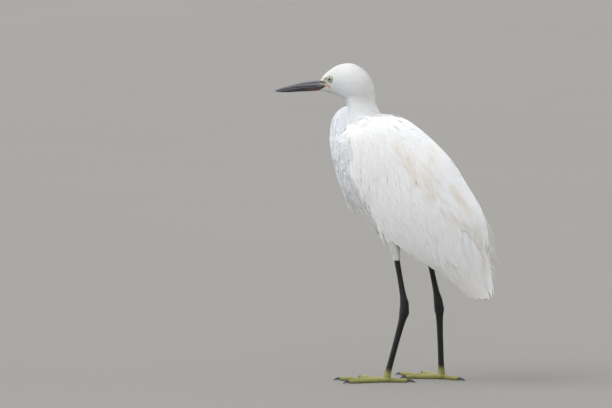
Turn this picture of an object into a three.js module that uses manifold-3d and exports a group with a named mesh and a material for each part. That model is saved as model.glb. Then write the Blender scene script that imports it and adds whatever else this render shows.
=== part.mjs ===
// A little egret, Egretta garzetta, life size, at rest on both feet with its neck drawn in.
// Millimetres, +Z up. The bird faces -X and its left side is -Y.
import * as THREE from "three";
import { mergeVertices } from "three/addons/utils/BufferGeometryUtils.js";
import Module from "manifold-3d";

const wasm = await Module();
wasm.setup();

// Driving dimensions
const GAP = 0.3; // between touching pieces
const BODY_SLOPE = THREE.MathUtils.degToRad(48); // the back falls this far below level, towards the tail
const BODY_HEIGHT = 250; // height of the body axis where it crosses X = 0
const EYE = { x: -73, z: 389.6, out: 9, radius: 5.2, tilt: 15 };
const BODY_END = 144; // along the body axis, where the tail begins
const TAIL_TIP = 199.5;
const WING_TIP = 201;
const SHOULDER = { x: -16, out: 21, z: 312, deep: 27, half: 23, tall: 31.5, inner: 12 };
const THIGH_LEVEL = 162.5; // feathering ends at this height on both legs
const LEGS = {
  left: { ankle: [36.8, -24, 96.6], foot: [12.5, -28, 6], thighEnd: [24, -23, THIGH_LEVEL], turn: 6 },
  right: { ankle: [65.2, 24, 97.2], foot: [66.8, 29, 6], thighEnd: [50.5, 23.4, THIGH_LEVEL], turn: 9 },
};

// Small tools

const { lerp, smoothstep, clamp, degToRad } = THREE.MathUtils;
const vec = (x, y, z) => new THREE.Vector3(x, y, z);

// A smooth curve through [position, value] pairs, level in slope where the pairs turn back.
function profile(pairs) {
  const n = pairs.length;
  const slope = pairs.map((p, i) => {
    const before = pairs[Math.max(i - 1, 0)];
    const after = pairs[Math.min(i + 1, n - 1)];
    return (after[1] - before[1]) / (after[0] - before[0]);
  });
  return (at) => {
    const x = clamp(at, pairs[0][0], pairs[n - 1][0]);
    let i = 0;
    while (i < n - 2 && x > pairs[i + 1][0]) i += 1;
    const [x0, y0] = pairs[i];
    const [x1, y1] = pairs[i + 1];
    const span = x1 - x0;
    const t = (x - x0) / span;
    const t2 = t * t;
    const t3 = t2 * t;
    return (
      y0 * (2 * t3 - 3 * t2 + 1) +
      slope[i] * span * (t3 - 2 * t2 + t) +
      y1 * (3 * t2 - 2 * t3) +
      slope[i + 1] * span * (t3 - t2)
    );
  };
}

// A repeatable random draw between 0 and 1.
function randomDraw(seed) {
  let state = seed;
  return () => {
    state = (state * 1664525 + 1013904223) % 4294967296;
    return state / 4294967296;
  };
}

// A closed solid from points and triangles, turned to face outwards.
function solidOf(points, triangles) {
  let volume = 0;
  for (const [i, j, k] of triangles) volume += points[i].dot(points[j].clone().cross(points[k]));
  const faces = volume < 0 ? triangles.map(([i, j, k]) => [i, k, j]) : triangles;
  const mesh = new wasm.Mesh({
    numProp: 3,
    vertProperties: new Float32Array(points.flatMap((p) => [p.x, p.y, p.z])),
    triVerts: new Uint32Array(faces.flat()),
  });
  return new wasm.Manifold(mesh);
}

function solidOfGeometry(geometry) {
  const bare = geometry.index ? geometry.clone() : geometry;
  bare.deleteAttribute("normal");
  bare.deleteAttribute("uv");
  const merged = mergeVertices(bare, 1e-4);
  const at = merged.attributes.position;
  const points = Array.from({ length: at.count }, (_, i) => vec(at.getX(i), at.getY(i), at.getZ(i)));
  const triangles = [];
  for (let i = 0; i < merged.index.count; i += 3) {
    triangles.push([merged.index.getX(i), merged.index.getX(i + 1), merged.index.getX(i + 2)]);
  }
  return solidOf(points, triangles);
}

// Rings of points joined in order, closed by a fan at each end.
function loft(rings) {
  const count = rings[0].length;
  const points = rings.flat();
  const triangles = [];
  for (let i = 0; i + 1 < rings.length; i += 1) {
    for (let j = 0; j < count; j += 1) {
      const a = i * count + j;
      const b = i * count + ((j + 1) % count);
      triangles.push([a, b, a + count], [b, b + count, a + count]);
    }
  }
  const middle = (ring) => ring.reduce((sum, p) => sum.add(p), vec(0, 0, 0)).divideScalar(count);
  const first = points.push(middle(rings[0])) - 1;
  const last = points.push(middle(rings.at(-1))) - 1;
  const end = (rings.length - 1) * count;
  for (let j = 0; j < count; j += 1) {
    const next = (j + 1) % count;
    triangles.push([first, next, j], [last, end + j, end + next]);
  }
  return solidOf(points, triangles);
}

// A thin closed sheet between two grids of points, split into triangles alike on both faces.
function sheet(outer, inner) {
  const rows = outer.length;
  const columns = outer[0].length;
  const points = [...outer.flat(), ...inner.flat()];
  const below = rows * columns;
  const triangles = [];
  for (let i = 0; i + 1 < rows; i += 1) {
    for (let j = 0; j + 1 < columns; j += 1) {
      const a = i * columns + j;
      const b = a + 1;
      const c = a + columns;
      const d = c + 1;
      triangles.push([a, b, c], [b, d, c]);
      triangles.push([below + a, below + c, below + b], [below + b, below + c, below + d]);
    }
  }
  const rim = [];
  for (let j = 0; j + 1 < columns; j += 1) rim.push(j);
  for (let i = 0; i + 1 < rows; i += 1) rim.push(i * columns + columns - 1);
  for (let j = columns - 1; j > 0; j -= 1) rim.push((rows - 1) * columns + j);
  for (let i = rows - 1; i > 0; i -= 1) rim.push(i * columns);
  rim.forEach((a, k) => {
    const b = rim[(k + 1) % rim.length];
    triangles.push([a, below + a, b], [b, below + a, below + b]);
  });
  return solidOf(points, triangles);
}

// A round or oval tube along a path. Each station is [point, radius fore and aft, radius across].
function tube(stations, sides) {
  const rings = stations.map(([centre, deep, wide], i) => {
    const before = stations[Math.max(i - 1, 0)][0];
    const after = stations[Math.min(i + 1, stations.length - 1)][0];
    const along = after.clone().sub(before).normalize();
    const across = Math.abs(along.y) > 0.9 ? vec(1, 0, 0) : vec(0, 1, 0);
    across.addScaledVector(along, -across.dot(along)).normalize();
    const fore = across.clone().cross(along).normalize();
    return Array.from({ length: sides }, (_, j) => {
      const angle = (2 * Math.PI * (j + 0.5)) / sides;
      return centre
        .clone()
        .addScaledVector(fore, deep * Math.cos(angle))
        .addScaledVector(across, wide * Math.sin(angle));
    });
  });
  return loft(rings);
}

function ball(centre, radius, sides = 14) {
  const geometry = new THREE.SphereGeometry(radius, sides, Math.round(sides / 2));
  geometry.translate(centre.x, centre.y, centre.z);
  return solidOfGeometry(geometry);
}

const joined = (pieces) => pieces.reduce((sum, piece) => sum.add(piece));

// Only the largest closed surface is kept, so a sealed hollow is filled and a loose scrap is dropped.
function largest(solid) {
  return solid.decompose().reduce((best, one) => (one.volume() > best.volume() ? one : best));
}

// Takes away what lies beyond a plane, on the side that its normal points to.
function trimmed(solid, point, normal) {
  const size = 900;
  const block = new THREE.BoxGeometry(size, size, size);
  block.translate(0, 0, size / 2);
  const turn = new THREE.Quaternion().setFromUnitVectors(vec(0, 0, 1), normal.clone().normalize());
  block.applyQuaternion(turn);
  block.translate(point.x, point.y, point.z);
  return solid.subtract(solidOfGeometry(block));
}

// The side of a plane that its normal points to, set back by half the gap.
const beyond = (solid, point, normal) =>
  trimmed(solid, point.clone().addScaledVector(normal, GAP / 2), normal.clone().negate());
const before = (solid, point, normal) =>
  trimmed(solid, point.clone().addScaledVector(normal, -GAP / 2), normal);

// The body's own axes: along it towards the tail, up from it towards the back, and out to the side
const ALONG = vec(Math.cos(BODY_SLOPE), 0, -Math.sin(BODY_SLOPE));
const UP = vec(Math.sin(BODY_SLOPE), 0, Math.cos(BODY_SLOPE));
const inBody = (along, up, side) =>
  vec(0, side, BODY_HEIGHT).addScaledVector(ALONG, along).addScaledVector(UP, up);

// Outer form of the folded wings and back, as heights above the body axis
const ridge = profile([
  [-92, 20], [-88, 34], [-82, 48], [-74, 60], [-66, 67.6], [-58, 72.6], [-44, 78.6], [-29, 82.8],
  [0, 87.8], [30, 89.8], [60, 86], [90, 82], [105, 79], [120, 73.2], [135, 63.6], [150, 53],
  [175, 35.2], [205, 17],
]);
const widest = profile([[-92, 8], [-74, 18], [-30, 22], [30, 22], [90, 24], [150, 18], [205, 10]]);
const halfWidth = profile([
  [-92, 16], [-88, 30], [-80, 39], [-65, 45.6], [-30, 49.8], [10, 50],
  [50, 48], [90, 42], [130, 33], [170, 22], [205, 13],
]);
const keel = profile([
  [-92, -8], [-78, -29], [-64, -37], [-49, -44], [-28, -50], [-8, -50], [15, -48],
  [55, -47], [84, -43], [110, -32], [136, -18], [160, -12], [183, -8], [205, 0],
]);
const wingEdge = profile([
  [-92, 4], [-60, -8], [-30, -19], [0, -26], [21, -30.5],
  [50, -31], [84, -24], [110, -16.5], [136, -9.5], [160, -3], [183, -2.5], [205, 5],
]);

// One folded wing as a surface. Positions on it are mm along the body and a share, from the ridge of
// the back to the wing's lower edge.
function wingSurface(side) {
  const edgeAngle = (along) => {
    const drop = (wingEdge(along) - widest(along)) / (widest(along) - keel(along));
    return Math.acos(clamp(drop, -0.95, 0));
  };
  const bare = (along, share) => {
    const angle = share * edgeAngle(along);
    const rise = angle < Math.PI / 2 ? ridge(along) - widest(along) : widest(along) - keel(along);
    const out = GAP / 2 + (halfWidth(along) - GAP / 2) * Math.sin(angle);
    return inBody(along, widest(along) + rise * Math.cos(angle), side * out);
  };
  const normal = (along, share) => {
    const step = 0.5;
    const turn = 0.004;
    const a = bare(along + step, share).sub(bare(along - step, share));
    const b = bare(along, share + turn).sub(bare(along, share - turn));
    if (share <= 0) b.set(0, side, 0);
    return a.cross(b).multiplyScalar(side).normalize();
  };
  return {
    point: (along, share, lift) => {
      const held = clamp(share, 0, EDGE_SHARE);
      const at = bare(along, held).addScaledVector(normal(along, held), lift);
      at.y = side * Math.max(side * at.y, GAP / 2);
      return at;
    },
    // mm for one whole share
    reach: (along, share) => {
      const angle = share * edgeAngle(along);
      const rise = angle < Math.PI / 2 ? ridge(along) - widest(along) : widest(along) - keel(along);
      return edgeAngle(along) * Math.hypot(halfWidth(along) * Math.cos(angle), rise * Math.sin(angle));
    },
    // angle of the feathers' lie, down from the body axis
    lie: (along, share) => degToRad(36 - 24 * smoothstep(along, 110, 190)) * clamp(share, 0, 1),
  };
}

// The closed tail as a surface. Positions on it are mm along the body and mm out from the middle.
const tailSurface = {
  point: (along, side, lift) =>
    inBody(along, 31 - 0.38 * (along - BODY_END) - 0.018 * side * side + lift, side),
  reach: () => 1,
  lie: (along, side) => 0.006 * side,
};

// One feather lying on a surface, from its sunk root to its lifted tip, thinner at the rim.
function vane(surface, { tip, length, half, thick = 1, sink = 1.7, lift = 1, tilt = 0.5, blunt = 0.3 }) {
  const shares = [0, 0.55, 0.88, 1];
  const widths = [0.6, 1, 0.82, blunt];
  let [along, share] = tip;
  const spine = [[along, share, surface.lie(along, share)]];
  for (let i = shares.length - 1; i > 0; i -= 1) {
    const step = (shares[i] - shares[i - 1]) * length;
    const lie = surface.lie(along, share);
    along -= step * Math.cos(lie);
    share -= (step * Math.sin(lie)) / surface.reach(along, share);
    spine.unshift([along, share, lie]);
  }
  const grid = (face) =>
    spine.map(([a, s, lie], i) => {
      const height = lerp(-sink, lift, Math.min(1, shares[i] / 0.6));
      return [-1, 0, 1].map((across) => {
        const off = across * half * widths[i];
        const thickness = thick * (across ? 0.6 : 1) * lerp(1, 0.7, shares[i]);
        return surface.point(
          a - off * Math.sin(lie),
          s + (off * Math.cos(lie)) / surface.reach(a, s),
          height + across * tilt * widths[i] + (face * thickness) / 2,
        );
      });
    });
  return sheet(grid(1), grid(-1));
}

// A row of feathers between two tip positions, each varied a little.
function feathered(surface, draw, { count, from, to, bow = 0, ...shape }) {
  return Array.from({ length: count }, (_, i) => {
    const t = count > 1 ? i / (count - 1) : 0;
    const along = lerp(from[0], to[0], t) + (draw() - 0.5) * 3;
    const share = lerp(from[1], to[1], t) + bow * Math.sin(Math.PI * t);
    return vane(surface, { ...shape, tip: [along, share], length: shape.length * (0.96 + 0.08 * draw()) });
  });
}

// Wings

const CORE_SHARE = 0.86; // the solid part of the wing ends above the feather tips
const EDGE_SHARE = 1.03; // feathers are cut off here
const RIM = 3.6; // depth of the solid part at its front and lower rims, enough to cover the sunken roots
const wingDepth = (along, share) => {
  const inside = smoothstep(along, -92, -45) * (1 - smoothstep(share, 0.5, CORE_SHARE));
  return lerp(RIM, lerp(8, 3.6, smoothstep(along, 20, 165)), inside);
};

function wingShell(surface, { inner, outer, shares, margin }) {
  const stations = [-84, -77, -66, -50, -28, 0, 28, 56, 82, 106, 130, 152, 172];
  stations[0] -= margin;
  stations[stations.length - 1] += margin;
  const grid = (lift) =>
    stations.map((along) => shares.map((share) => surface.point(along, share, lift(along, share))));
  return sheet(grid(outer), grid(inner));
}

// Rows of feathers: places of the first and last tip, then the size of one feather
const FEATHER_ROWS = [
  // primaries
  { count: 5, from: [181, 0.97], to: [WING_TIP, 0.34], bow: 0.14, length: 80, half: 9.5, lift: 0.2 },
  // secondaries
  { count: 7, from: [62, 0.97], to: [166, 0.96], length: 56, half: 15.5, lift: 0.7 },
  // tertials
  { count: 3, from: [164, 0.54], to: [200, 0.16], length: 76, half: 13, lift: 1.5 },
  // coverts along the edge
  { count: 4, from: [-30, 0.95], to: [42, 0.96], length: 38, half: 13, lift: 0.9 },
  // greater coverts
  { count: 5, from: [30, 0.75], to: [146, 0.6], length: 46, half: 17, lift: 1.3 },
  // median coverts
  { count: 5, from: [0, 0.6], to: [114, 0.42], length: 38, half: 16, lift: 1.7 },
  // lesser coverts
  { count: 3, from: [-10, 0.5], to: [66, 0.28], length: 38, half: 18, lift: 2 },
  // scapulars
  { count: 4, from: [32, 0.22], to: [140, 0.1], bow: 0.04, length: 52, half: 14, lift: 2.3 },
];

// The rounded shoulder at the front of one wing, flat where it lies in the torso
function shoulderSolid(side, grow) {
  const { x, out, z, deep, half, tall, inner } = SHOULDER;
  const geometry = new THREE.SphereGeometry(1, 14, 8);
  geometry.rotateX(Math.PI / 2);
  geometry.scale(deep + grow, half + grow, tall + grow);
  geometry.translate(x, side * out, z);
  return trimmed(solidOfGeometry(geometry), vec(0, side * (inner - grow), 0), vec(0, -side, 0));
}

// Loose locks that trail behind the wings: [along, share] of the root, and [x, out, height] of the tip
const TRAILING_LOCKS = [
  { root: [116, 0.16], tip: [157, 7, 160] },
  { root: [130, 0.1], tip: [160, 3.5, 143] },
  { root: [143, 0.24], tip: [158.5, 9, 128] },
];

function trailingLock(surface, side, { root, tip }) {
  const start = surface.point(...root, -1.5);
  const end = vec(tip[0], side * tip[1], tip[2]);
  const radii = [1.3, 1.5, 1.1, 0.45];
  return tube(
    [0, 0.34, 0.7, 1].map((t, i) => {
      const at = start.clone().lerp(end, t);
      at.x += 2.5 * Math.sin(Math.PI * t);
      return [at, radii[i] * 0.7, radii[i]];
    }),
    4,
  );
}

// Flesh: rings across each part

// Oval ring with different heights above and below its widest line.
function ovalRing(place, sides, above, below, half) {
  return Array.from({ length: sides }, (_, j) => {
    const angle = (2 * Math.PI * j) / sides;
    const height = Math.cos(angle) * (Math.cos(angle) > 0 ? above : below);
    return place(height, half * Math.sin(angle));
  });
}

// Torso: [along, back, widest, belly, half width]
const TORSO = [
  [-90, 12, 4, -3, 10], [-84, 33, 10, -15, 27], [-76, 44, 16, -26, 37], [-62, 56, 19, -35, 44],
  [-45, 66, 20, -43, 48], [-25, 73, 21, -48.5, 49.5], [0, 78, 22, -48.5, 50], [25, 79, 22, -46.5, 49],
  [45, 77, 22, -45.5, 46], [62, 75, 22, -40, 40], [80, 71, 22, -31, 33], [98, 62, 24, -21, 27],
  [116, 53, 23, -13.5, 22], [132, 45, 20, -7.5, 18], [BODY_END, 39, 18, -3, 14.5],
];

function torsoSolid(grow) {
  return loft(
    TORSO.map(([along, back, wide, belly, half]) =>
      ovalRing(
        (height, side) => inBody(along, wide + height, side),
        22,
        back - wide + grow,
        wide - belly + grow,
        half + grow,
      ),
    ),
  );
}

// Tail base, with the feathers under it: [along, rise, drop, half width], from the line of the feathers
const TAIL_BASE = [
  [BODY_END + GAP, 8, 33, 14], [151, 6.5, 29, 13], [159, 4.5, 21, 11.5],
  [168, 2.6, 11, 9], [176, 1, 3, 5],
];

// Head: [x, crown, underside, half width]
const HEAD = [
  [-93, 386, 373.2, 5.4], [-88, 391.8, 371.8, 8], [-82, 398, 370.8, 10.6], [-74, 403.8, 369.5, 13],
  [-65, 408.3, 366.5, 15.2], [-55, 410.3, 362, 16.7], [-45, 409.6, 358.5, 17.3], [-36, 405.4, 356, 16.9],
  [-27.5, 398.4, 356, 14.6], [-21.5, 389.5, 358, 11], [-18, 380, 362, 6.5],
];

function headSolid(grow) {
  return loft(
    HEAD.map(([x, crown, under, half]) => {
      const middle = (crown + under) / 2;
      const tall = (crown - under) / 2 + grow;
      return ovalRing((height, side) => vec(x, side, middle + height), 18, tall, tall, half + grow);
    }),
  );
}

// Neck: [z, front x, back x, half width], level rings
const NECK_UPPER = [
  [392, -48, -24, 12], [380, -54, -18, 15], [368, -56, -15.6, 15.6], [357, -54, -13.4, 15.6],
  [348, -53, -9.5, 17.5], [338, -54, -3, 21], [322, -54, 1, 26], [300, -50, 2, 28],
];
const NECK_LOWER = [
  [353.5, -61, -50, 5], [350.5, -65, -44, 9], [345, -69.6, -38, 12.5], [336, -74.2, -32, 16.5],
  [325, -76.2, -28, 21], [313, -76.6, -24, 26], [300, -74.6, -20, 31], [286, -71, -18, 34],
  [272, -64, -18, 32], [256, -50, -20, 24],
];

function neckSolid(levels, grow) {
  return loft(
    levels.map(([z, front, back, half], i) => {
      const middle = (front + back) / 2;
      const deep = (back - front) / 2 + grow;
      const level = i === levels.length - 1 ? z - grow : z;
      return ovalRing((height, side) => vec(middle + height, side, level), 18, deep, deep, half + grow);
    }),
  );
}

// Bill: [x, culmen, mouth line, lower outline, half width]
const BILL = [
  [-82, 384.3, 380.6, 377.6, 10.9], [-88, 385.6, 379.8, 375, 8.7], [-94, 386.3, 379.2, 373.2, 6.2],
  [-104, 385.3, 378.1, 372.2, 5.1], [-115, 383.5, 376.8, 371.4, 4.4], [-125, 381.1, 375.3, 370.6, 3.8],
  [-135, 378.3, 373.6, 369.8, 3], [-145, 375.3, 372, 369.5, 2], [-152, 372.8, 371.2, 369.8, 1.1],
  [-155, 371.4, 370.8, 370.3, 0.5],
];

function billHalf(upper, gap, grow) {
  const arc = 9;
  return loft(
    BILL.map(([x, culmen, mouth, under, half], i) => {
      const flat = mouth + (upper ? gap : -gap);
      const tall = (upper ? culmen - flat : flat - under) + grow;
      const points = Array.from({ length: arc }, (_, j) => {
        const angle = (Math.PI * j) / (arc - 1);
        const back = i ? 0 : grow;
        const up = (upper ? 1 : -1) * tall * Math.sin(angle);
        return vec(x + back, (half + grow) * Math.cos(angle), flat + up);
      });
      return points;
    }),
  );
}

// Feather locks that hang from the lower breast: [side, root height, length]
const PLUMES = [
  [-21, 246, 26], [-16, 243, 33], [-10.5, 241, 32], [-5, 239, 38], [0.5, 238, 35],
  [5.5, 239, 39], [11, 241, 31], [16, 243, 33], [21.5, 246, 25],
];

function breastPlume([side, height, length]) {
  const root = vec(-53 + 0.014 * side * side - 0.3 * (height - 240), side, height);
  const radii = [2.5, 2.9, 1.9, 0.5];
  return tube(
    [0, 0.35, 0.72, 1].map((t, i) => {
      const out = 3.5 * Math.sin(Math.PI * Math.min(1.1 * t, 1)) + 2 * t;
      const at = vec(0.5 * length * t * t - out, -0.1 * side * t, -0.95 * length * t).add(root);
      return [at, radii[i] * 0.6, radii[i]];
    }),
    5,
  );
}

// Legs

// Oval stations along a straight bone: [share, fore and aft, across]
const SHIN = [[0, 3.8, 3.4], [0.4, 3.5, 3.2], [0.72, 4.1, 3.7], [0.88, 5.6, 4.7], [1.04, 7, 5.4]];
const TARSUS = [
  [-0.03, 7, 5.4], [0.06, 6.6, 5.3], [0.15, 5, 4.4], [0.3, 4.2, 3.8],
  [0.6, 3.8, 3.4], [0.88, 4, 3.8], [0.96, 4.8, 4.8], [1.03, 5.2, 5.2],
];
const THIGH = [[0, 20, 17], [0.4, 17, 14], [0.68, 11.5, 10], [0.86, 7.6, 7], [1, 5.2, 5]];
const THIGH_LENGTH = 72;
// Toes: [name, angle out from straight ahead, length, claw length]
const TOES = [["inner", -30, 46, 8], ["middle", 2, 62, 9], ["outer", 33, 51, 8], ["hind", 186, 27, 11]];
const PALM = 13; // the toes part from the foot this far from its middle
const TOE_LEVEL = 2.6; // height of a toe's middle
const PAD = 3; // a pad's radius, a little over the toe level so that it gives a small flat
// Stations along a toe: [share, radius]
const TOE = [[0, 3.2], [0.26, PAD], [0.42, 2.55], [0.56, PAD], [0.7, 2.45], [0.83, 2.95], [1, 2.1]];
// Stations along a claw: [share, drop below the toe's middle, radius]
const CLAW = [[-0.12, 0.3, 1.9], [0.35, -0.2, 1.6], [0.75, 0.9, 1], [1, 2.2, 0.35]];

const along = (from, to, share) => from.clone().lerp(to, share);
const bone = (from, to, stations, sides) =>
  tube(stations.map(([share, deep, wide]) => [along(from, to, share), deep, wide]), sides);

function legNodes(name, side, belly) {
  const { ankle, foot, thighEnd, turn } = LEGS[name];
  const [joint, base, knee] = [vec(...ankle), vec(...foot), vec(...thighEnd)];
  const shinWay = joint.clone().sub(knee).normalize();
  const tarsusWay = base.clone().sub(joint).normalize();
  const bend = shinWay.clone().add(tarsusWay).normalize();
  const hip = knee.clone().addScaledVector(shinWay, -THIGH_LENGTH);
  hip.x -= 5;
  const floor = vec(0, 0, 0);
  const down = vec(0, 0, -1);
  const thigh = bone(hip, knee, THIGH, 14).subtract(belly);
  const shin = bone(knee, joint, SHIN, 10);
  const tarsus = bone(joint, base, TARSUS, 10);
  const nodes = {
    [`${name}_thigh`]: largest(before(thigh, knee, shinWay)),
    [`${name}_shin`]: before(beyond(shin, knee, shinWay), joint, bend),
  };
  const toes = TOES.map(([toe, angle, length, claw]) => {
    const out = degToRad(angle + turn);
    const way = vec(-Math.cos(out), side * Math.sin(out), 0);
    const middle = vec(base.x, base.y, TOE_LEVEL);
    const at = (mm, drop = 0) => middle.clone().addScaledVector(way, mm).setZ(TOE_LEVEL - drop);
    const toeTube = tube(TOE.map(([share, radius]) => [at(share * length), radius, radius * 0.93]), 8);
    const clawTube = tube(
      CLAW.map(([share, drop, radius]) => [at(length + share * claw, drop), radius, radius * 0.75]),
      6,
    );
    return { toe, way, at, length, toeTube, clawTube };
  });
  const middle = vec(base.x, base.y, TOE_LEVEL);
  const whole = trimmed(joined([tarsus, ...toes.map((t) => t.toeTube)]), floor, down);
  const palm = ball(middle, PALM, 12);
  const instep = vec(base.x, base.y, 15);
  nodes[`${name}_tarsus`] = before(beyond(tarsus, joint, bend), instep, tarsusWay);
  nodes[`${name}_foot`] = largest(beyond(whole.intersect(palm), instep, tarsusWay));
  for (const { toe, way, at, length, toeTube, clawTube } of toes) {
    const lone = trimmed(toeTube, floor, down).subtract(ball(middle, PALM + GAP, 12));
    const clawCut = at(length - 1);
    nodes[`${name}_${toe}_toe`] = largest(before(lone, clawCut, way));
    nodes[`${name}_${toe}_claw`] = largest(trimmed(beyond(clawTube, clawCut, way), floor, down));
  }
  return nodes;
}

// Assembly

function build() {
  const nodes = {};
  const surfaces = { left: wingSurface(-1), right: wingSurface(1) };

  // Neck and head stand clear of the wings
  const neckPieces = (grow) => [headSolid(grow), neckSolid(NECK_UPPER, grow), neckSolid(NECK_LOWER, grow)];
  const clearance = joined(neckPieces(GAP));

  // Wings
  let torso = torsoSolid(0);
  const blanks = [];
  for (const [name, surface] of Object.entries(surfaces)) {
    const side = name === "left" ? -1 : 1;
    const draw = randomDraw(name === "left" ? 11 : 29);
    const depth = (grow) => (a, s) => -wingDepth(a, s) - grow;
    const shares = Array.from({ length: 7 }, (_, j) => (CORE_SHARE * j) / 6);
    const core = wingShell(surface, { inner: depth(0), outer: () => 0, shares, margin: 0 });
    const reach = [...shares, EDGE_SHARE - 0.08, EDGE_SHARE];
    const blank = wingShell(surface, { inner: depth(GAP), outer: () => 14, shares: reach, margin: GAP });
    blanks.push(blank);
    const vanes = FEATHER_ROWS.flatMap((row) => feathered(surface, draw, row));
    const locks = TRAILING_LOCKS.map((lock) => trailingLock(surface, side, lock));
    const whole = joined([core, shoulderSolid(side, 0), ...vanes, ...locks]);
    nodes[`${name}_wing`] = largest(whole.subtract(clearance));
    torso = torso.subtract(blank).subtract(shoulderSolid(side, GAP));
  }

  // Head, neck and torso, modelled whole and parted by thin cuts
  const flesh = joined([torso, ...neckPieces(0), ...PLUMES.map(breastPlume)]);
  const headCut = [vec(-35, 0, 365), vec(-0.164, 0, 0.986)];
  const foldCut = [vec(-54, 0, 354.7), vec(-0.854, 0, -0.52)];
  const chestCut = [vec(-76, 0, 300), vec(0.507, 0, -0.862)];
  const billBlock = billHalf(true, 0, 1.3 * GAP).add(billHalf(false, 0, 1.3 * GAP));
  let head = beyond(flesh, ...headCut);
  for (const side of [-1, 1]) {
    const lid = new THREE.TorusGeometry(4.2, 0.95, 6, 12);
    lid.rotateX(Math.PI / 2);
    lid.rotateZ(-side * degToRad(EYE.tilt));
    lid.translate(EYE.x - 0.8, side * (EYE.out + 3.9), EYE.z + 0.2);
    head = head.add(solidOfGeometry(lid));
  }
  for (const side of [-1, 1]) {
    const centre = vec(EYE.x, side * EYE.out, EYE.z);
    head = head.subtract(ball(centre, EYE.radius + GAP));
    nodes[side < 0 ? "left_eye" : "right_eye"] = ball(centre, EYE.radius);
  }
  nodes.head = largest(head.subtract(billBlock));
  const belowHead = before(flesh, ...headCut);
  const neck = before(belowHead, ...chestCut);
  nodes.upper_neck = largest(before(neck, ...foldCut));
  nodes.lower_neck = largest(beyond(neck, ...foldCut));
  nodes.torso = largest(beyond(belowHead, ...chestCut));

  // Bill
  const nostril = (side) => {
    const slit = new THREE.SphereGeometry(1, 10, 8);
    slit.scale(4, 1, 0.7);
    slit.rotateY(degToRad(-4));
    slit.translate(-103, side * 4.6, 382);
    return solidOfGeometry(slit);
  };
  nodes.upper_bill = largest(billHalf(true, GAP / 2, 0).subtract(nostril(-1)).subtract(nostril(1)));
  nodes.lower_bill = billHalf(false, GAP / 2, 0);

  // Tail: a base that carries five pairs of feathers, the middle pair on top
  const tailBase = loft(
    TAIL_BASE.map(([at, above, below, half]) =>
      ovalRing((height, side) => tailSurface.point(at, side, height - 1), 14, above, below, half),
    ),
  );
  const tailDraw = randomDraw(5);
  const rectrices = [5.8, 4.6, 3.4, 2.2, 1].flatMap((out, i) =>
    [-1, 1].map((side) =>
      vane(tailSurface, {
        tip: [TAIL_TIP - 0.5 * out + tailDraw() * 1.5, side * out],
        length: 51,
        half: 4,
        lift: -1.6 + 0.6 * i,
        sink: 1.4 - 0.3 * i,
        tilt: 0.15,
        blunt: 0.5,
      }),
    ),
  );
  nodes.tail = largest(joined([tailBase, ...rectrices]));

  // Legs
  const belly = joined([torsoSolid(GAP), ...blanks]);
  Object.assign(nodes, legNodes("left", -1, belly), legNodes("right", 1, belly));
  return nodes;
}

// Colours
const FINISH = {
  plumage: { color: 0xf1efe9, roughness: 0.9 },
  bill: { color: 0x26272b, roughness: 0.45 },
  billBase: { color: 0x5b4a48, roughness: 0.5 },
  eye: { color: 0xd8d6a8, roughness: 0.15 },
  leg: { color: 0x1c1c20, roughness: 0.6 },
  foot: { color: 0x9a9440, roughness: 0.65 },
  claw: { color: 0x22201e, roughness: 0.4 },
};

function finishOf(name) {
  if (name.endsWith("claw")) return FINISH.claw;
  if (name.endsWith("toe") || name.endsWith("foot")) return FINISH.foot;
  if (name.endsWith("shin") || name.endsWith("tarsus")) return FINISH.leg;
  if (name.endsWith("eye")) return FINISH.eye;
  if (name === "upper_bill") return FINISH.bill;
  return name === "lower_bill" ? FINISH.billBase : FINISH.plumage;
}

function meshOf(name, solid) {
  const { vertProperties, triVerts, numProp } = solid.getMesh();
  const geometry = new THREE.BufferGeometry();
  const positions = new Float32Array((vertProperties.length / numProp) * 3);
  for (let i = 0; i < positions.length / 3; i += 1) {
    positions.set(vertProperties.subarray(i * numProp, i * numProp + 3), i * 3);
  }
  geometry.setAttribute("position", new THREE.BufferAttribute(positions, 3));
  geometry.setIndex(new THREE.BufferAttribute(new Uint32Array(triVerts), 1));
  geometry.computeVertexNormals();
  const mesh = new THREE.Mesh(geometry, new THREE.MeshStandardMaterial({ ...finishOf(name), metalness: 0 }));
  mesh.name = name;
  return mesh;
}

const bird = new THREE.Group();
bird.name = "little_egret";
for (const [name, solid] of Object.entries(build())) bird.add(meshOf(name, solid));

// The origin is on the floor, under the middle of the bird's outline
const box = new THREE.Box3().setFromObject(bird);
bird.position.set(-(box.min.x + box.max.x) / 2, -(box.min.y + box.max.y) / 2, 0);

export default bird;
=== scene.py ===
"""A life-size little egret: skin, feathers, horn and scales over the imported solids.

Lengths inside this file are millimetres in the bird's own frame, which is the part's frame moved
by SHIFT: the bird faces -X and its left side is -Y. Meshes are turned to metres when they are made.
"""

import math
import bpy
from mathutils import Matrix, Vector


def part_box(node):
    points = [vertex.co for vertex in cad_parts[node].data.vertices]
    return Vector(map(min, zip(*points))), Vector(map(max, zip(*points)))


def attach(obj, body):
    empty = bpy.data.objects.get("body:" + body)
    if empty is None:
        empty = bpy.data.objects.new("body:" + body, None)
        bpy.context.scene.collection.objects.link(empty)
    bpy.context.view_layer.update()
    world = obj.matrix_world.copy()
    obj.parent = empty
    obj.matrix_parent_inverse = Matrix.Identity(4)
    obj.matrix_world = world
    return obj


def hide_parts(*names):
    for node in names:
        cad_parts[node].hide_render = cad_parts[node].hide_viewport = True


bl_info = {
    "name": "Little Egret",
    "version": (1, 0, 0),
    "blender": (4, 5, 0),
    "location": "View3D > Sidebar > Egret",
    "description": "Dresses the solids of a life-size little egret in skin, feathers, horn and scales",
    "category": "Object",
}

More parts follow.
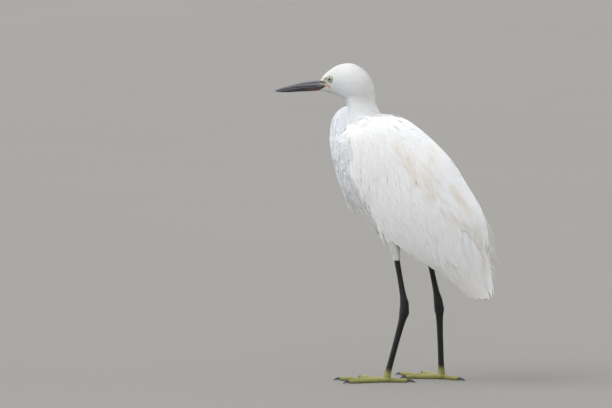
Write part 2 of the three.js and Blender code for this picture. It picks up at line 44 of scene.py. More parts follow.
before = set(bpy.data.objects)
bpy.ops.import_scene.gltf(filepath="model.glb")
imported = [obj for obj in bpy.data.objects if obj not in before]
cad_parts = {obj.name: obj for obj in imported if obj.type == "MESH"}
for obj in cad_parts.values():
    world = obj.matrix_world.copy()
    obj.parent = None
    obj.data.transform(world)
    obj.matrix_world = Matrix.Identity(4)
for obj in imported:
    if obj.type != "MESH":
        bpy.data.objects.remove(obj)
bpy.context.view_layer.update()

import bmesh
import bpy
import numpy as np
from bpy.props import FloatProperty, FloatVectorProperty, PointerProperty
from mathutils import Matrix, Vector
from mathutils.bvhtree import BVHTree

MM = 0.001

# Driving dimensions, the same as the solids'
BODY_SLOPE = math.radians(48)
BODY_HEIGHT = 250.0
BODY_END = 144.0
TAIL_TIP = 199.5
WING_TIP = 201.0
SHOULDER_CENTRE = np.array([-16, 21, 312])
SHOULDER_REACH = np.array([27, 23, 31.5])
EYE_X, EYE_OUT, EYE_Z, EYE_RADIUS, EYE_TILT = -73.0, 9.0, 389.6, 5.2, 3.0
BILL_BASE = np.array([-98.0, 0.0, 379.0])


def leg_of(side, turn, knee, ankle, foot):
    """One leg: its side, how far its toes turn out, and the places of its joints."""
    joints = {"knee": np.array(knee), "ankle": np.array(ankle), "foot": np.array(foot)}
    return {"side": side, "turn": turn, **joints}


LEGS = {
    "left": leg_of(-1, 6, (24, -23, 162.5), (36.8, -24, 96.6), (12.5, -28.0, 6)),
    "right": leg_of(1, 9, (50.5, 23.4, 162.5), (65.2, 24, 97.2), (66.8, 29, 6)),
}
ALONG = np.array([math.cos(BODY_SLOPE), 0, -math.sin(BODY_SLOPE)])
UP = np.array([math.sin(BODY_SLOPE), 0, math.cos(BODY_SLOPE)])

low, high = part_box("left_eye")
SHIFT = (np.array(low) + np.array(high)) / 2 / MM - np.array([EYE_X, -EYE_OUT, EYE_Z])


# Small tools


def lerp(a, b, t):
    return a + (b - a) * t


def smoothstep(x, low, high):
    t = np.clip((np.asarray(x, float) - low) / (high - low), 0, 1)
    return t * t * (3 - 2 * t)


def unit(vectors):
    length = np.linalg.norm(vectors, axis=-1, keepdims=True)
    return vectors / np.maximum(length, 1e-9)


def in_body(along, up, side):
    """A point from its place along the body, up from the body's axis and out to the side."""
    along, up, side = np.broadcast_arrays(*(np.asarray(v, float) for v in (along, up, side)))
    point = along[..., None] * ALONG + up[..., None] * UP
    point[..., 1] += side
    point[..., 2] += BODY_HEIGHT
    return point


def ring_angles(count, first=0.0):
    """Even angles once round, counted from first steps."""
    return (np.arange(count) + first) * 2 * math.pi / count


def stacked(x, y, z):
    """Points from coordinates of matching shapes."""
    return np.stack(np.broadcast_arrays(x, y, z), -1)


def body_place(points):
    """How far points lie along the body and up from its axis."""
    held = points - np.array([0, 0, BODY_HEIGHT])
    return held @ ALONG, held @ UP


def profile(pairs):
    """A smooth curve through [position, value] pairs, as the solids have it."""
    at, value = np.array(pairs, float).T
    after = np.append(np.arange(1, len(at)), len(at) - 1)
    before = np.insert(np.arange(len(at) - 1), 0, 0)
    slope = (value[after] - value[before]) / (at[after] - at[before])

    def curve(x):
        x = np.clip(x, at[0], at[-1])
        i = np.clip(np.searchsorted(at, x, side="right") - 1, 0, len(at) - 2)
        span = at[i + 1] - at[i]
        t = (x - at[i]) / span
        t2, t3 = t * t, t * t * t
        return (
            value[i] * (2 * t3 - 3 * t2 + 1)
            + slope[i] * span * (t3 - 2 * t2 + t)
            + value[i + 1] * (3 * t2 - 2 * t3)
            + slope[i + 1] * span * (t3 - t2)
        )

    return curve


def columns(table):
    """One smooth curve for each column of a table, by its first column."""
    table = sorted(table)
    return [profile([(row[0], row[k]) for row in table]) for k in range(1, len(table[0]))]


# Meshes


class Shape:
    """Points and faces gathered for one mesh, with named values for each point."""

    def __init__(self):
        self.points, self.quads, self.triangles = [], [], []
        self.values = {}
        self.count = 0

    def add(self, points, quads=None, triangles=None, **values):
        points = np.asarray(points, float).reshape(-1, 3)
        self.points.append(points)
        if quads is not None:
            self.quads.append(np.asarray(quads, int).reshape(-1, 4) + self.count)
        if triangles is not None:
            self.triangles.append(np.asarray(triangles, int).reshape(-1, 3) + self.count)
        for name, value in values.items():
            self.values.setdefault(name, []).append(np.asarray(value, float).reshape(len(points), -1))
        self.count += len(points)
        return self

    def all_points(self):
        return np.concatenate(self.points)

    def mesh(self, name):
        points = self.all_points()
        quads = np.concatenate(self.quads) if self.quads else np.zeros((0, 4), int)
        triangles = np.concatenate(self.triangles) if self.triangles else np.zeros((0, 3), int)
        corners = np.concatenate([quads.ravel(), triangles.ravel()])
        starts = np.concatenate([np.arange(len(quads)) * 4, len(quads) * 4 + np.arange(len(triangles)) * 3])
        mesh = bpy.data.meshes.new(name)
        mesh.vertices.add(len(points))
        mesh.vertices.foreach_set("co", ((points + SHIFT) * MM).astype(np.float32).ravel())
        mesh.loops.add(len(corners))
        mesh.loops.foreach_set("vertex_index", corners.astype(np.int32))
        mesh.polygons.add(len(starts))
        mesh.polygons.foreach_set("loop_start", starts.astype(np.int32))
        mesh.polygons.foreach_set("use_smooth", np.ones(len(starts), bool))
        mesh.update(calc_edges=True)
        for key, parts in self.values.items():
            value = np.concatenate(parts)
            if key == "Normal":
                mesh.normals_split_custom_set_from_vertices(value.tolist())
            elif value.shape[1] == 2:
                layer = mesh.uv_layers.new(name=key)
                layer.data.foreach_set("uv", value[corners].astype(np.float32).ravel())
            else:
                colour = np.ones((len(points), 4), np.float32)
                colour[:, : value.shape[1]] = value
                layer = mesh.color_attributes.new(name=key, type="FLOAT_COLOR", domain="POINT")
                layer.data.foreach_set("color", colour.ravel())
        return mesh


def linked(name, data):
    """Makes an object and puts it in the scene."""
    thing = bpy.data.objects.new(name, data)
    bpy.context.scene.collection.objects.link(thing)
    return thing


def new_object(name, mesh, material, replaced=()):
    """An object of the model that rides on the bird's one body."""
    thing = linked(name, mesh)
    mesh.materials.append(material)
    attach(thing, "root")
    if replaced:
        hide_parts(*replaced)
    return thing


def lofted(rings, closed=True):
    """Points, quads and end triangles of rings joined in order."""
    rings = np.asarray(rings, float)
    count, sides = rings.shape[:2]
    i, j = np.meshgrid(np.arange(count - 1), np.arange(sides), indexing="ij")
    a = (i * sides + j).ravel()
    b = (i * sides + (j + 1) % sides).ravel()
    quads = np.stack([a, b, b + sides, a + sides], 1)
    points = rings.reshape(-1, 3)
    if not closed:
        return points, quads, np.zeros((0, 3), int)
    points = np.concatenate([points, rings[0].mean(0)[None], rings[-1].mean(0)[None]])
    j = np.arange(sides)
    after = (j + 1) % sides
    first, last, end = count * sides, count * sides + 1, (count - 1) * sides
    near = np.stack([np.full(sides, first), after, j], 1)
    far = np.stack([np.full(sides, last), end + j, end + after], 1)
    return points, quads, np.concatenate([near, far])


def oval_rings(place, above, below, half, sides=40):
    """Oval rings of different height above and below their widest line."""
    angle = ring_angles(sides)
    tall = np.where(np.cos(angle) > 0, np.asarray(above)[:, None], np.asarray(below)[:, None])
    return place(tall * np.cos(angle), np.asarray(half)[:, None] * np.sin(angle))


def ball_rings(centre, reach, rows):
    """Rings of an ellipsoid from its lowest to its highest."""
    polar = np.linspace(0.05, math.pi - 0.05, rows)[:, None]
    around = ring_angles(36)
    ball = stacked(np.sin(polar) * np.cos(around), np.sin(polar) * np.sin(around), np.cos(polar))
    return centre + reach * ball[::-1]


def tube_rings(path, deep, wide, sides):
    """Oval rings along a path, wide across the body and deep fore and aft."""
    path = np.asarray(path, float)
    along = unit(np.gradient(path, axis=0))
    across = np.where(np.abs(along[:, 1:2]) > 0.9, [[1.0, 0, 0]], [[0, 1.0, 0]])
    across = unit(across - (across * along).sum(1, keepdims=True) * along)
    fore = np.cross(across, along)
    angle = ring_angles(sides, 0.5)
    deep = np.broadcast_to(np.asarray(deep, float), (len(path),))
    wide = np.broadcast_to(np.asarray(wide, float), (len(path),))
    return (
        path[:, None]
        + fore[:, None] * (deep[:, None] * np.cos(angle))[..., None]
        + across[:, None] * (wide[:, None] * np.sin(angle))[..., None]
    )


# Outer form of the folded wings and back

ridge = profile([
    (-92, 20), (-88, 34), (-82, 48), (-74, 60), (-66, 67.6), (-58, 72.6), (-44, 78.6), (-29, 82.8),
    (0, 87.8), (30, 89.8), (60, 86), (90, 82), (105, 79), (120, 73.2), (135, 63.6), (150, 53),
    (175, 35.2), (205, 17),
])
widest = profile([(-92, 8), (-74, 18), (-30, 22), (30, 22), (90, 24), (150, 18), (205, 10)])
half_width = profile([
    (-92, 16), (-88, 30), (-80, 39), (-65, 45.6), (-30, 49.8), (10, 50),
    (50, 48), (90, 42), (130, 33), (170, 22), (205, 13),
])
keel = profile([
    (-92, -8), (-78, -29), (-64, -37), (-49, -44), (-28, -50), (-8, -50), (15, -48),
    (55, -47), (84, -43), (110, -32), (136, -18), (160, -12), (183, -8), (205, 0),
])
wing_edge = profile([
    (-92, 4), (-60, -8), (-30, -19), (0, -26), (21, -30.5), (50, -31),
    (84, -24), (110, -16.5), (136, -9.5), (160, -3), (183, -2.5), (205, 5),
])


class WingSurface:
    """One folded wing: places on it are mm along the body and a share from the back's ridge to its edge."""

    def __init__(self, side):
        self.side = side

    def edge_angle(self, along):
        drop = (wing_edge(along) - widest(along)) / (widest(along) - keel(along))
        return np.arccos(np.clip(drop, -0.95, 0))

    def rise(self, along, angle):
        """Height of the oval that a place lies on."""
        above, below = ridge(along) - widest(along), widest(along) - keel(along)
        return np.where(np.abs(angle) < math.pi / 2, above, below)

    def bare(self, along, share):
        angle = share * self.edge_angle(along)
        up = widest(along) + self.rise(along, angle) * np.cos(angle)
        return in_body(along, up, self.side * half_width(along) * np.sin(angle))

    def normal(self, along, share):
        step, turn = 0.5, 0.004
        a = self.bare(along + step, share) - self.bare(along - step, share)
        b = self.bare(along, share + turn) - self.bare(along, share - turn)
        return unit(np.cross(a, b)) * self.side

    def point(self, along, share, lift):
        along, share, lift = np.broadcast_arrays(*(np.asarray(v, float) for v in (along, share, lift)))
        share = np.clip(share, -1, 1.05)
        return self.bare(along, share) + self.normal(along, share) * lift[..., None]

    def reach(self, along, share):
        """Length over the wing of one whole share."""
        angle = share * self.edge_angle(along)
        speed = np.hypot(half_width(along) * np.cos(angle), self.rise(along, angle) * np.sin(angle))
        return self.edge_angle(along) * speed

    def lie(self, along, share):
        return np.radians(36 - 24 * smoothstep(along, 110, 190)) * np.clip(share, -1, 1)


class TailSurface:
    """The closed tail: places on it are mm along the body and mm out from the middle."""

    side = 1
    FALL = 0.38
    ROUND = 0.018

    def point(self, along, side, lift):
        up = 31 - self.FALL * (along - BODY_END) - self.ROUND * side * side
        return in_body(along, up + lift, side)

    def normal(self, along, side):
        across = 2 * self.ROUND * side[..., None] * np.array([0, 1.0, 0])
        return unit(self.FALL * ALONG + UP + across)

    def reach(self, along, side):
        return np.ones_like(np.asarray(along, float))

    def lie(self, along, side):
        return 0.006 * np.asarray(side, float)


# Flesh

TORSO = [
    (-90, 12, 4, -3, 10), (-84, 33, 10, -15, 27), (-76, 44, 16, -26, 37), (-62, 56, 19, -35, 44),
    (-45, 66, 20, -43, 48), (-25, 73, 21, -48.5, 49.5), (0, 78, 22, -48.5, 50), (25, 79, 22, -46.5, 49),
    (45, 77, 22, -45.5, 46), (62, 75, 22, -40, 40), (80, 71, 22, -31, 33), (98, 62, 24, -21, 27),
    (116, 53, 23, -13.5, 22), (132, 45, 20, -7.5, 18), (BODY_END, 39, 18, -3, 14.5),
]
TAIL_BASE = [
    (BODY_END, 8, 33, 14), (151, 6.5, 29, 13), (159, 4.5, 21, 11.5), (168, 2.6, 11, 9), (176, 1, 3, 5),
]
HEAD = [
    (-93, 386, 373.2, 5.4), (-88, 391.8, 371.8, 8), (-82, 398, 370.8, 10.6), (-74, 403.8, 369.5, 13),
    (-65, 408.3, 366.5, 15.2), (-55, 410.3, 362, 16.7), (-45, 409.6, 358.5, 17.3), (-36, 405.4, 356, 16.9),
    (-27.5, 398.4, 356, 14.6), (-21.5, 389.5, 358, 11), (-18, 380, 362, 6.5),
]
NECK_UPPER = [
    (392, -48, -24, 12), (380, -54, -18, 15), (368, -56, -15.6, 15.6), (357, -54, -13.4, 15.6),
    (348, -53, -9.5, 17.5), (338, -54, -3, 21), (322, -54, 1, 26), (300, -50, 2, 28),
]
NECK_LOWER = [
    (353.5, -61, -50, 5), (350.5, -65, -44, 9), (345, -69.6, -38, 12.5), (336, -74.2, -32, 16.5),
    (325, -76.2, -28, 21), (313, -76.6, -24, 26), (300, -74.6, -20, 31), (286, -71, -18, 34),
    (272, -64, -18, 32), (256, -50, -20, 24),
]
THIGH = [(0, 20, 17), (0.4, 17, 14), (0.68, 11.5, 10), (0.86, 7.6, 7), (1, 5.2, 5)]
THIGH_LENGTH = 72
LORE_RISE = 0.7
COAT_DEPTH = {"head": 1.1, "neck": 2.0, "torso": 2.6, "thigh": 1.5, "wing": 1.6, "shoulder": 1.8}


def spread(table, count):
    """Places evenly spread over a table's first column, and the other columns' values there."""
    first = [row[0] for row in table]
    at = np.linspace(min(first), max(first), count)
    return at, *(curve(at) for curve in columns(table))


def trunk_rings():
    at, back, wide, belly, half = spread(TORSO, 60)
    depth = COAT_DEPTH["torso"] * smoothstep(at, -92, -80)
    return oval_rings(
        lambda height, side: in_body(at[:, None], wide[:, None] + height, side),
        back - wide - depth, wide - belly - depth, half - depth,
    )


def tail_rings():
    at, above, below, half = spread(TAIL_BASE, 16)
    tail = TailSurface()
    return oval_rings(
        lambda height, side: tail.point(at[:, None], side, height - 2), above - 0.8, below - 1.5, half - 1.5,
    )


def head_rings():
    at, crown, under, half = spread(HEAD, 50)
    tall = (crown - under) / 2 - COAT_DEPTH["head"]
    middle = (crown + under) / 2
    return oval_rings(
        lambda height, side: stacked(at[:, None], side, middle[:, None] + height),
        tall, tall, half - COAT_DEPTH["head"],
    )


def neck_rings(table):
    level, front, behind, half = spread(table, 40)
    middle, deep = (front + behind) / 2, (behind - front) / 2 - COAT_DEPTH["neck"]
    return oval_rings(
        lambda height, side: stacked(middle[:, None] + height, side, level[:, None]),
        deep, deep, half - COAT_DEPTH["neck"],
    )


def thigh_rings(leg):
    hip = leg["knee"] - unit(leg["ankle"] - leg["knee"]) * THIGH_LENGTH - np.array([5.0, 0, 0])
    share = np.linspace(0, 1.06, 24)
    deep, across = (curve(share) - COAT_DEPTH["thigh"] for curve in columns(THIGH))
    return tube_rings(hip + share[:, None] * (leg["knee"] - hip), deep, across, 28)


def wing_rings(side):
    surface = WingSurface(side)
    along, share = np.meshgrid(np.linspace(-88, 184, 90), np.linspace(-0.02, 0.99, 34), indexing="ij")
    inside = smoothstep(along, -92, -45) * (1 - smoothstep(share, 0.5, 0.9))
    depth = lerp(3.4, lerp(13, 3.4, smoothstep(along, 20, 165)), inside)
    outer = surface.point(along, share, -COAT_DEPTH["wing"])
    inner = surface.point(along, share, -COAT_DEPTH["wing"] - depth)
    return np.concatenate([outer, inner[:, ::-1]], 1)


def shoulder_rings(side):
    return ball_rings(SHOULDER_CENTRE * [1, side, 1], SHOULDER_REACH - COAT_DEPTH["shoulder"], 26)


def flesh_shape():
    """The body's own forms, inside the solids by the depth of the coat, still overlapping each other."""
    forms = [trunk_rings(), tail_rings(), head_rings(), neck_rings(NECK_UPPER), neck_rings(NECK_LOWER)]
    forms += [thigh_rings(leg) for leg in LEGS.values()]
    for side in (-1, 1):
        forms += [wing_rings(side), shoulder_rings(side)]
    shape = Shape()
    for rings in forms:
        shape.add(*lofted(rings))
    return shape


def evaluated(thing):
    """The mesh of an object with its modifiers applied."""
    graph = bpy.context.evaluated_depsgraph_get()
    return bpy.data.meshes.new_from_object(thing.evaluated_get(graph), depsgraph=graph)


def values_of(items, key, width, kind=np.float32):
    """One value of every item in a mesh's list, as rows where a value has more than one number."""
    values = np.zeros(len(items) * width, kind)
    items.foreach_get(key, values)
    return values.reshape(-1, width) if width > 1 else values


class Skin:
    """The one skin under the whole coat, and the answers that feathers ask of it."""

    def __init__(self, voxel):
        rough = linked("rough_flesh", flesh_shape().mesh("rough_flesh"))
        remesh = rough.modifiers.new("Remesh", "REMESH")
        remesh.mode = "VOXEL"
        remesh.voxel_size = voxel * MM
        remesh.adaptivity = 0
        smooth = rough.modifiers.new("Smooth", "SMOOTH")
        smooth.factor = 0.5
        smooth.iterations = 8
        self.mesh = evaluated(rough)
        old = rough.data
        bpy.data.objects.remove(rough)
        bpy.data.meshes.remove(old)
        self.mesh.name = "skin"
        self.keep_largest()
        self.refine_face()
        self.raise_lores()
        self.mesh.polygons.foreach_set("use_smooth", np.ones(len(self.mesh.polygons), bool))

    def keep_largest(self):
        """Drops surfaces sealed inside the body."""
        work = bmesh.new()
        work.from_mesh(self.mesh)
        seen = np.full(len(work.verts), -1)
        work.verts.ensure_lookup_table()
        groups = 0
        for start in work.verts:
            if seen[start.index] >= 0:
                continue
            stack = [start]
            seen[start.index] = groups
            while stack:
                here = stack.pop()
                for edge in here.link_edges:
                    other = edge.other_vert(here)
                    if seen[other.index] < 0:
                        seen[other.index] = groups
                        stack.append(other)
            groups += 1
        largest = np.bincount(seen).argmax()
        bmesh.ops.delete(work, geom=[v for v in work.verts if seen[v.index] != largest], context="VERTS")
        work.to_mesh(self.mesh)
        work.free()

    def refine_face(self):
        """Splits the faces about eye and bill, where the bare skin's colours change within a few mm."""
        work = bmesh.new()
        work.from_mesh(self.mesh)
        points = self.points()
        near = (points[:, 0] < -66) & (np.abs(points[:, 2] - 384) < 11)
        edges = [e for e in work.edges if near[e.verts[0].index] and near[e.verts[1].index]]
        bmesh.ops.subdivide_edges(work, edges=edges, cuts=3, use_grid_fill=True)
        work.to_mesh(self.mesh)
        work.free()

    def raise_lores(self):
        """Brings the bare skin by the eye out to the face's own surface."""
        points = self.points()
        points[:, 1] += np.sign(points[:, 1]) * LORE_RISE * bare_face(points)
        self.move(points)

    def points(self):
        return values_of(self.mesh.vertices, "co", 3).astype(float) / MM - SHIFT

    def move(self, points):
        self.mesh.vertices.foreach_set("co", ((points + SHIFT) * MM).astype(np.float32).ravel())
        self.mesh.update()

    def learn(self):
        """Keeps faces, normals and map places for later questions. The mesh has its map by then."""
        mesh = self.mesh
        self.co = self.points()
        loops = values_of(mesh.loops, "vertex_index", 1, np.int32)
        start = values_of(mesh.polygons, "loop_start", 1, np.int32)
        total = values_of(mesh.polygons, "loop_total", 1, np.int32)
        self.faces = [loops[s : s + t] for s, t in zip(start, total)]
        self.centre = values_of(mesh.polygons, "center", 3) / MM - SHIFT
        self.area = values_of(mesh.polygons, "area", 1) / MM**2
        corner = np.minimum(start[:, None] + np.arange(4), (start + total - 1)[:, None])
        self.corner = loops[corner]
        self.normal = unit(values_of(mesh.vertex_normals, "vector", 3)[self.corner].mean(1))
        self.uv = values_of(mesh.uv_layers["OFBake"].data, "uv", 2)[corner].mean(1)
        self.tree = BVHTree.FromPolygons([tuple(p) for p in self.co], [tuple(f) for f in self.faces])

    def nearest(self, points):
        """The nearest skin point, the normal there and the face, for each of the points."""
        found = [self.tree.find_nearest(tuple(p)) for p in points]
        place = np.array([tuple(f[0]) for f in found])
        face = np.array([f[2] for f in found])
        return place, self.normal[face], face


# Where the face is bare, and which way the coat lies


def eye_distance(points):
    return np.hypot(points[..., 0] - EYE_X, points[..., 2] - EYE_Z)


def band(value, low, high, soft=0.4):
    """1 between low and high, fading over a soft edge."""
    return smoothstep(value, low - soft, low + soft) * (1 - smoothstep(value, high - soft, high + soft))


def lore_share(points):
    """1 on the bare lores before the eye, 0 on feathers."""
    x, z = points[..., 0], points[..., 2]
    return band(x, -83.6, -75) * band(z, 387.2, lerp(391.2, 392.4, smoothstep(x, -83, -78)))


def gape_share(points):
    """1 on the bare skin that runs from the bill, under the eye, to the corner of the mouth."""
    x, z = points[..., 0], points[..., 2]
    top = lerp(387.2, 384.6, smoothstep(x, -82, -74))
    low = lerp(379.4, 379.0, smoothstep(x, -84, -72))
    return band(x, -93, -72.4 - 0.9 * np.maximum(z - 380.5, 0)) * band(z, low, top)


def bare_face(points):
    ring = 1 - smoothstep(eye_distance(points), 4.5, 5.2)
    bare = np.maximum(np.maximum(ring, lore_share(points)), gape_share(points))
    return bare * (points[..., 2] > 370) * (np.abs(points[..., 1]) > 2.5)


def face_paint(points):
    """Colours of the skin: white down, and by the bill and eye the bare skin's own colours."""
    look = bpy.context.scene.egret_bare
    x, z = points[..., 0], points[..., 2]
    near = eye_distance(points)
    ring = band(near, 2, 5.0, 0.3)
    back = smoothstep(x, -86, -77)
    wedge = band(z, lerp(384.1, 385.1, back), lerp(386.9, 385.7, back), 0.35)
    colour = np.broadcast_to(np.array(bpy.context.scene.egret_plumage.white), points.shape)
    for amount, paint in (
        (1.0, look.face_skin),
        (lore_share(points), look.lores),
        (band(z, 387, 387.9, 0.3) * band(x, -90, -80), look.lores_edge),
        (band(z, 382.9, 384.4, 0.4) * band(x, -92, -79, 1.5), look.face_grey),
        (wedge * band(x, -95, -75.8, 0.6), look.bill),
        (band(z, 381.4, 382, 0.3) * band(x, -92, -81, 1.0), look.lores),
        (band(z, 379.0, 379.7, 0.25) * band(x, -92, -78, 1.0), look.bill),
        (band(z, 378, 380.7, 0.3) * band(x, -77, -70, 0.8), look.gape),
        (ring * (1 - smoothstep(x, -77, -74)) * (z > 386.5), look.lores_pale),
        (ring * smoothstep(x, -74, -70), look.eye_rim),
    ):
        colour = lerp(colour, np.array(paint), (bare_face(points) * amount)[..., None])
    return colour


def lie_direction(points):
    """The way that feathers point at places on the body."""
    x, z = points[..., 0], points[..., 2]
    along, _ = body_place(points)
    down_nape = np.broadcast_to(unit(np.array([0.22, 0, -1.0])), points.shape)
    down_front = unit(stacked(lerp(0.1, 0.5, smoothstep(270 - z, 0, 40)), 0.0, -1.0))
    chin = smoothstep(372 - z, -2, 10) * smoothstep(x, -80, -60)
    to_nape = np.maximum(smoothstep(x, -58, -24), smoothstep(365 - z, 0, 14))[..., None]
    head = lerp(unit(points - BILL_BASE), down_nape, to_nape) + chin[..., None] * np.array([0.5, 0, -0.3])
    trunk = lerp(down_front, np.broadcast_to(ALONG, points.shape), smoothstep(along, -70, -20)[..., None])
    lie = lerp(trunk, unit(head), smoothstep(z, 318, 345)[..., None])
    for leg in LEGS.values():
        near = 1 - smoothstep(np.linalg.norm((points - leg["knee"])[..., :2], axis=-1), 14, 30)
        near = near * (1 - smoothstep(z, 186, 206))
        down_leg = unit(leg["ankle"] - leg["knee"])
        lie = lerp(lie, np.broadcast_to(down_leg, points.shape), near[..., None])
    return unit(lie)


# Markings, and painted shade

CREAM_STREAKS = [
    # from (along, up) to (along, up), half width, strength
    ((-24, 62), (-6, 58), 7, 0.35), ((-1, 63), (31, 53), 6.5, 0.55), ((4, 92), (36, 70), 6, 0.32),
    # The streak from (98, 60) to (122, 62) is cream that is partly painted shadow under the scapulars' tips.
    ((26, 70), (58, 58), 8, 0.42), ((63, 80), (102, 74), 3.4, 0.65), ((98, 60), (122, 62), 4, 0.45),
    ((122, 65), (154, 50), 4.5, 0.4), ((140, 58), (172, 40), 5, 0.45), ((158, 49), (207, 25), 5, 0.9),
    # The broad wash from (160, 12) to (196, 14) over the end of the wing is cream that is partly painted
    # shade there.
    ((-2, -9), (6, -12), 4, 0.4), ((160, 12), (196, 14), 15, 0.28), ((96, 24), (104, 22), 5, 0.25),
    ((84, 54), (110, 50), 7, 0.22),
]
FACE_SPOTS = [
    # middle (x, z), width, strength
    ((-79, 376.4), 1.6, 1.0), ((-83, 375.3), 2.2, 0.5),
    ((-78, 373.2), 2.4, 0.45), ((-73.5, 376.8), 2.4, 0.3),
]
FAR_SIDE_CREAM = 0.6


def marks_and_painted_shade(points):
    """Amounts of cream, and of cool white that is painted sky-lit shade, at places on the plumage, and room
    for each feather's tone and painted shade.
    """
    along, up = body_place(points)
    x, y, z = np.moveaxis(points, -1, 0)
    cream = np.zeros(along.shape)
    for (a0, b0), (a1, b1), width, strength in CREAM_STREAKS:
        da, db = a1 - a0, b1 - b0
        t = np.clip(((along - a0) * da + (up - b0) * db) / (da * da + db * db), 0, 1)
        gap = np.hypot(along - a0 - t * da, up - b0 - t * db)
        cream = np.maximum(cream, strength * np.exp(-((gap / width) ** 2)))
    cream = cream * (1 - smoothstep(z, 318, 332)) * smoothstep(np.abs(y), 4, 12)
    cream = cream * np.where(y < 0, 1, FAR_SIDE_CREAM)
    cream = np.maximum(cream, 0.75 * band(x, -94, -84, 1.5) * band(z, 386.5, 391.8, 0.8))
    for (x0, z0), wide, strength in FACE_SPOTS:
        cream = np.maximum(cream, strength * np.exp(-(((x - x0) / wide) ** 2 + ((z - z0) / wide) ** 2)))
    cream = np.maximum(cream, 0.16 * smoothstep(x, -34, -20) * smoothstep(z, 350, 372))
    # Cool white: painted sky-lit shade, on the front of breast and neck below 352 to 372 mm, and round the
    # cheeks.
    breast = 1 - smoothstep(x, -60, -20)
    cheek = np.exp(-(((x + 60) / 16) ** 2 + ((z - 378) / 12) ** 2))
    painted_sky_shade = np.clip(0.75 * breast * (1 - smoothstep(z, 352, 372)) + 0.5 * cheek, 0, 1)
    return stacked(cream, painted_sky_shade, 1.0)


# Materials

# Distance from the pupil, in mm, that stands for the whole back of the eye
BEHIND_EYE = 6.0


def nodes_of(name, **settings):
    """A material, its node tree and its shader, with plain values set on the shader's sockets."""
    material = bpy.data.materials.new(name)
    material.use_nodes = True
    tree = material.node_tree
    shader = tree.nodes["Principled BSDF"]
    for key, value in settings.items():
        shader.inputs[key.replace("_", " ")].default_value = value
    return material, tree, shader


def mixed(tree, factor, first, second):
    """A colour mix node whose factor and colours may be sockets or plain values."""
    node = tree.nodes.new("ShaderNodeMix")
    node.data_type = "RGBA"
    for socket, value in ((node.inputs[0], factor), (node.inputs[6], first), (node.inputs[7], second)):
        if isinstance(value, bpy.types.NodeSocket):
            tree.links.new(value, socket)
        elif isinstance(value, (int, float)):
            socket.default_value = value
        else:
            socket.default_value = (*value[:3], 1)
    return node.outputs[2]


def measured(tree, operation, *values):
    node = tree.nodes.new("ShaderNodeMath")
    node.operation = operation
    for socket, value in zip(node.inputs, values):
        if isinstance(value, bpy.types.NodeSocket):
            tree.links.new(value, socket)
        else:
            socket.default_value = value
    return node.outputs[0]


def channels(tree, name):
    """The three channels of a colour kept on the mesh."""
    kept = tree.nodes.new("ShaderNodeAttribute")
    kept.attribute_name = name
    split = tree.nodes.new("ShaderNodeSeparateColor")
    tree.links.new(kept.outputs["Color"], split.inputs[0])
    return list(split.outputs)[:3]


def place_socket(tree):
    return tree.nodes.new("ShaderNodeTexCoord").outputs["Object"]


def graded(tree, value, factor, start):
    """A value times a factor, from a start."""
    return measured(tree, "MULTIPLY_ADD", value, factor, start)


def noise(tree, scale, detail=3, stretch=None):
    node = tree.nodes.new("ShaderNodeTexNoise")
    node.inputs["Scale"].default_value = scale
    node.inputs["Detail"].default_value = detail
    place = place_socket(tree)
    if stretch:
        mapping = tree.nodes.new("ShaderNodeMapping")
        mapping.inputs["Scale"].default_value = stretch
        tree.links.new(place, mapping.inputs["Vector"])
        place = mapping.outputs[0]
    tree.links.new(place, node.inputs["Vector"])
    return node.outputs["Fac"]


def bumped(tree, shader, height, strength, distance):
    bump = tree.nodes.new("ShaderNodeBump")
    bump.inputs["Strength"].default_value = strength
    bump.inputs["Distance"].default_value = distance * MM
    tree.links.new(height, bump.inputs["Height"])
    tree.links.new(bump.outputs[0], shader.inputs["Normal"])


def plumage_material(name, barbs):
    """White feather: cream patches and painted cool sky-lit shade kept on the mesh, each feather's darker
    tone, partly painted shade, and fine barbs where vanes are broad.
    """
    look = bpy.context.scene.egret_plumage
    material, tree, shader = nodes_of(
        name, Roughness=0.82, Specular_IOR_Level=0.25, Sheen_Weight=0.12, Sheen_Roughness=0.5,
        Subsurface_Weight=0.25, Subsurface_Radius=(0.0016, 0.0015, 0.0013), Subsurface_Scale=1.0)
    cream, painted_sky_shade, tone = channels(tree, "Marking")
    cream = measured(tree, "MULTIPLY", cream, graded(tree, noise(tree, 70, 4), 1.5, 0.25))
    # Painted sky-lit shade: cool white mixed in on breast and cheeks.
    colour = mixed(tree, painted_sky_shade, look.white, look.painted_sky_shade)
    colour = mixed(tree, cream, colour, look.cream)
    # Darker by each feather's tone: a random tone of its own, and painted shade at lock roots, along one
    # edge of long wing feathers and on the low locks by the thighs.
    colour = mixed(tree, graded(tree, tone, -0.3, 0.3), colour, look.shade)
    tree.links.new(colour, shader.inputs["Base Color"])
    if barbs:
        kept = tree.nodes.new("ShaderNodeUVMap")
        kept.uv_map = "Vane"
        split = tree.nodes.new("ShaderNodeSeparateXYZ")
        tree.links.new(kept.outputs[0], split.inputs[0])
        slant = measured(tree, "ABSOLUTE", split.outputs[0])
        slant = measured(tree, "MULTIPLY_ADD", slant, -0.1, split.outputs[1])
        ripple = measured(tree, "SINE", measured(tree, "MULTIPLY", slant, 420.0))
        bumped(tree, shader, ripple, 0.25, 0.12)
    else:
        bumped(tree, shader, noise(tree, 900, 2), 0.15, 0.2)
    return material


def skin_material():
    """Skin: the colours kept on the mesh, broken up by fine grain."""
    material, tree, shader = nodes_of(
        "skin", Roughness=0.6, Subsurface_Weight=0.15, Subsurface_Radius=(0.0012, 0.0008, 0.0006),
        Subsurface_Scale=1.0)
    kept = tree.nodes.new("ShaderNodeAttribute")
    kept.attribute_name = "Paint"
    fine = noise(tree, 1400, 3)
    colour = mixed(tree, graded(tree, fine, 0.5, -0.12), kept.outputs["Color"], (0.2, 0.17, 0.12))
    tree.links.new(colour, shader.inputs["Base Color"])
    bumped(tree, shader, fine, 0.35, 0.25)
    return material


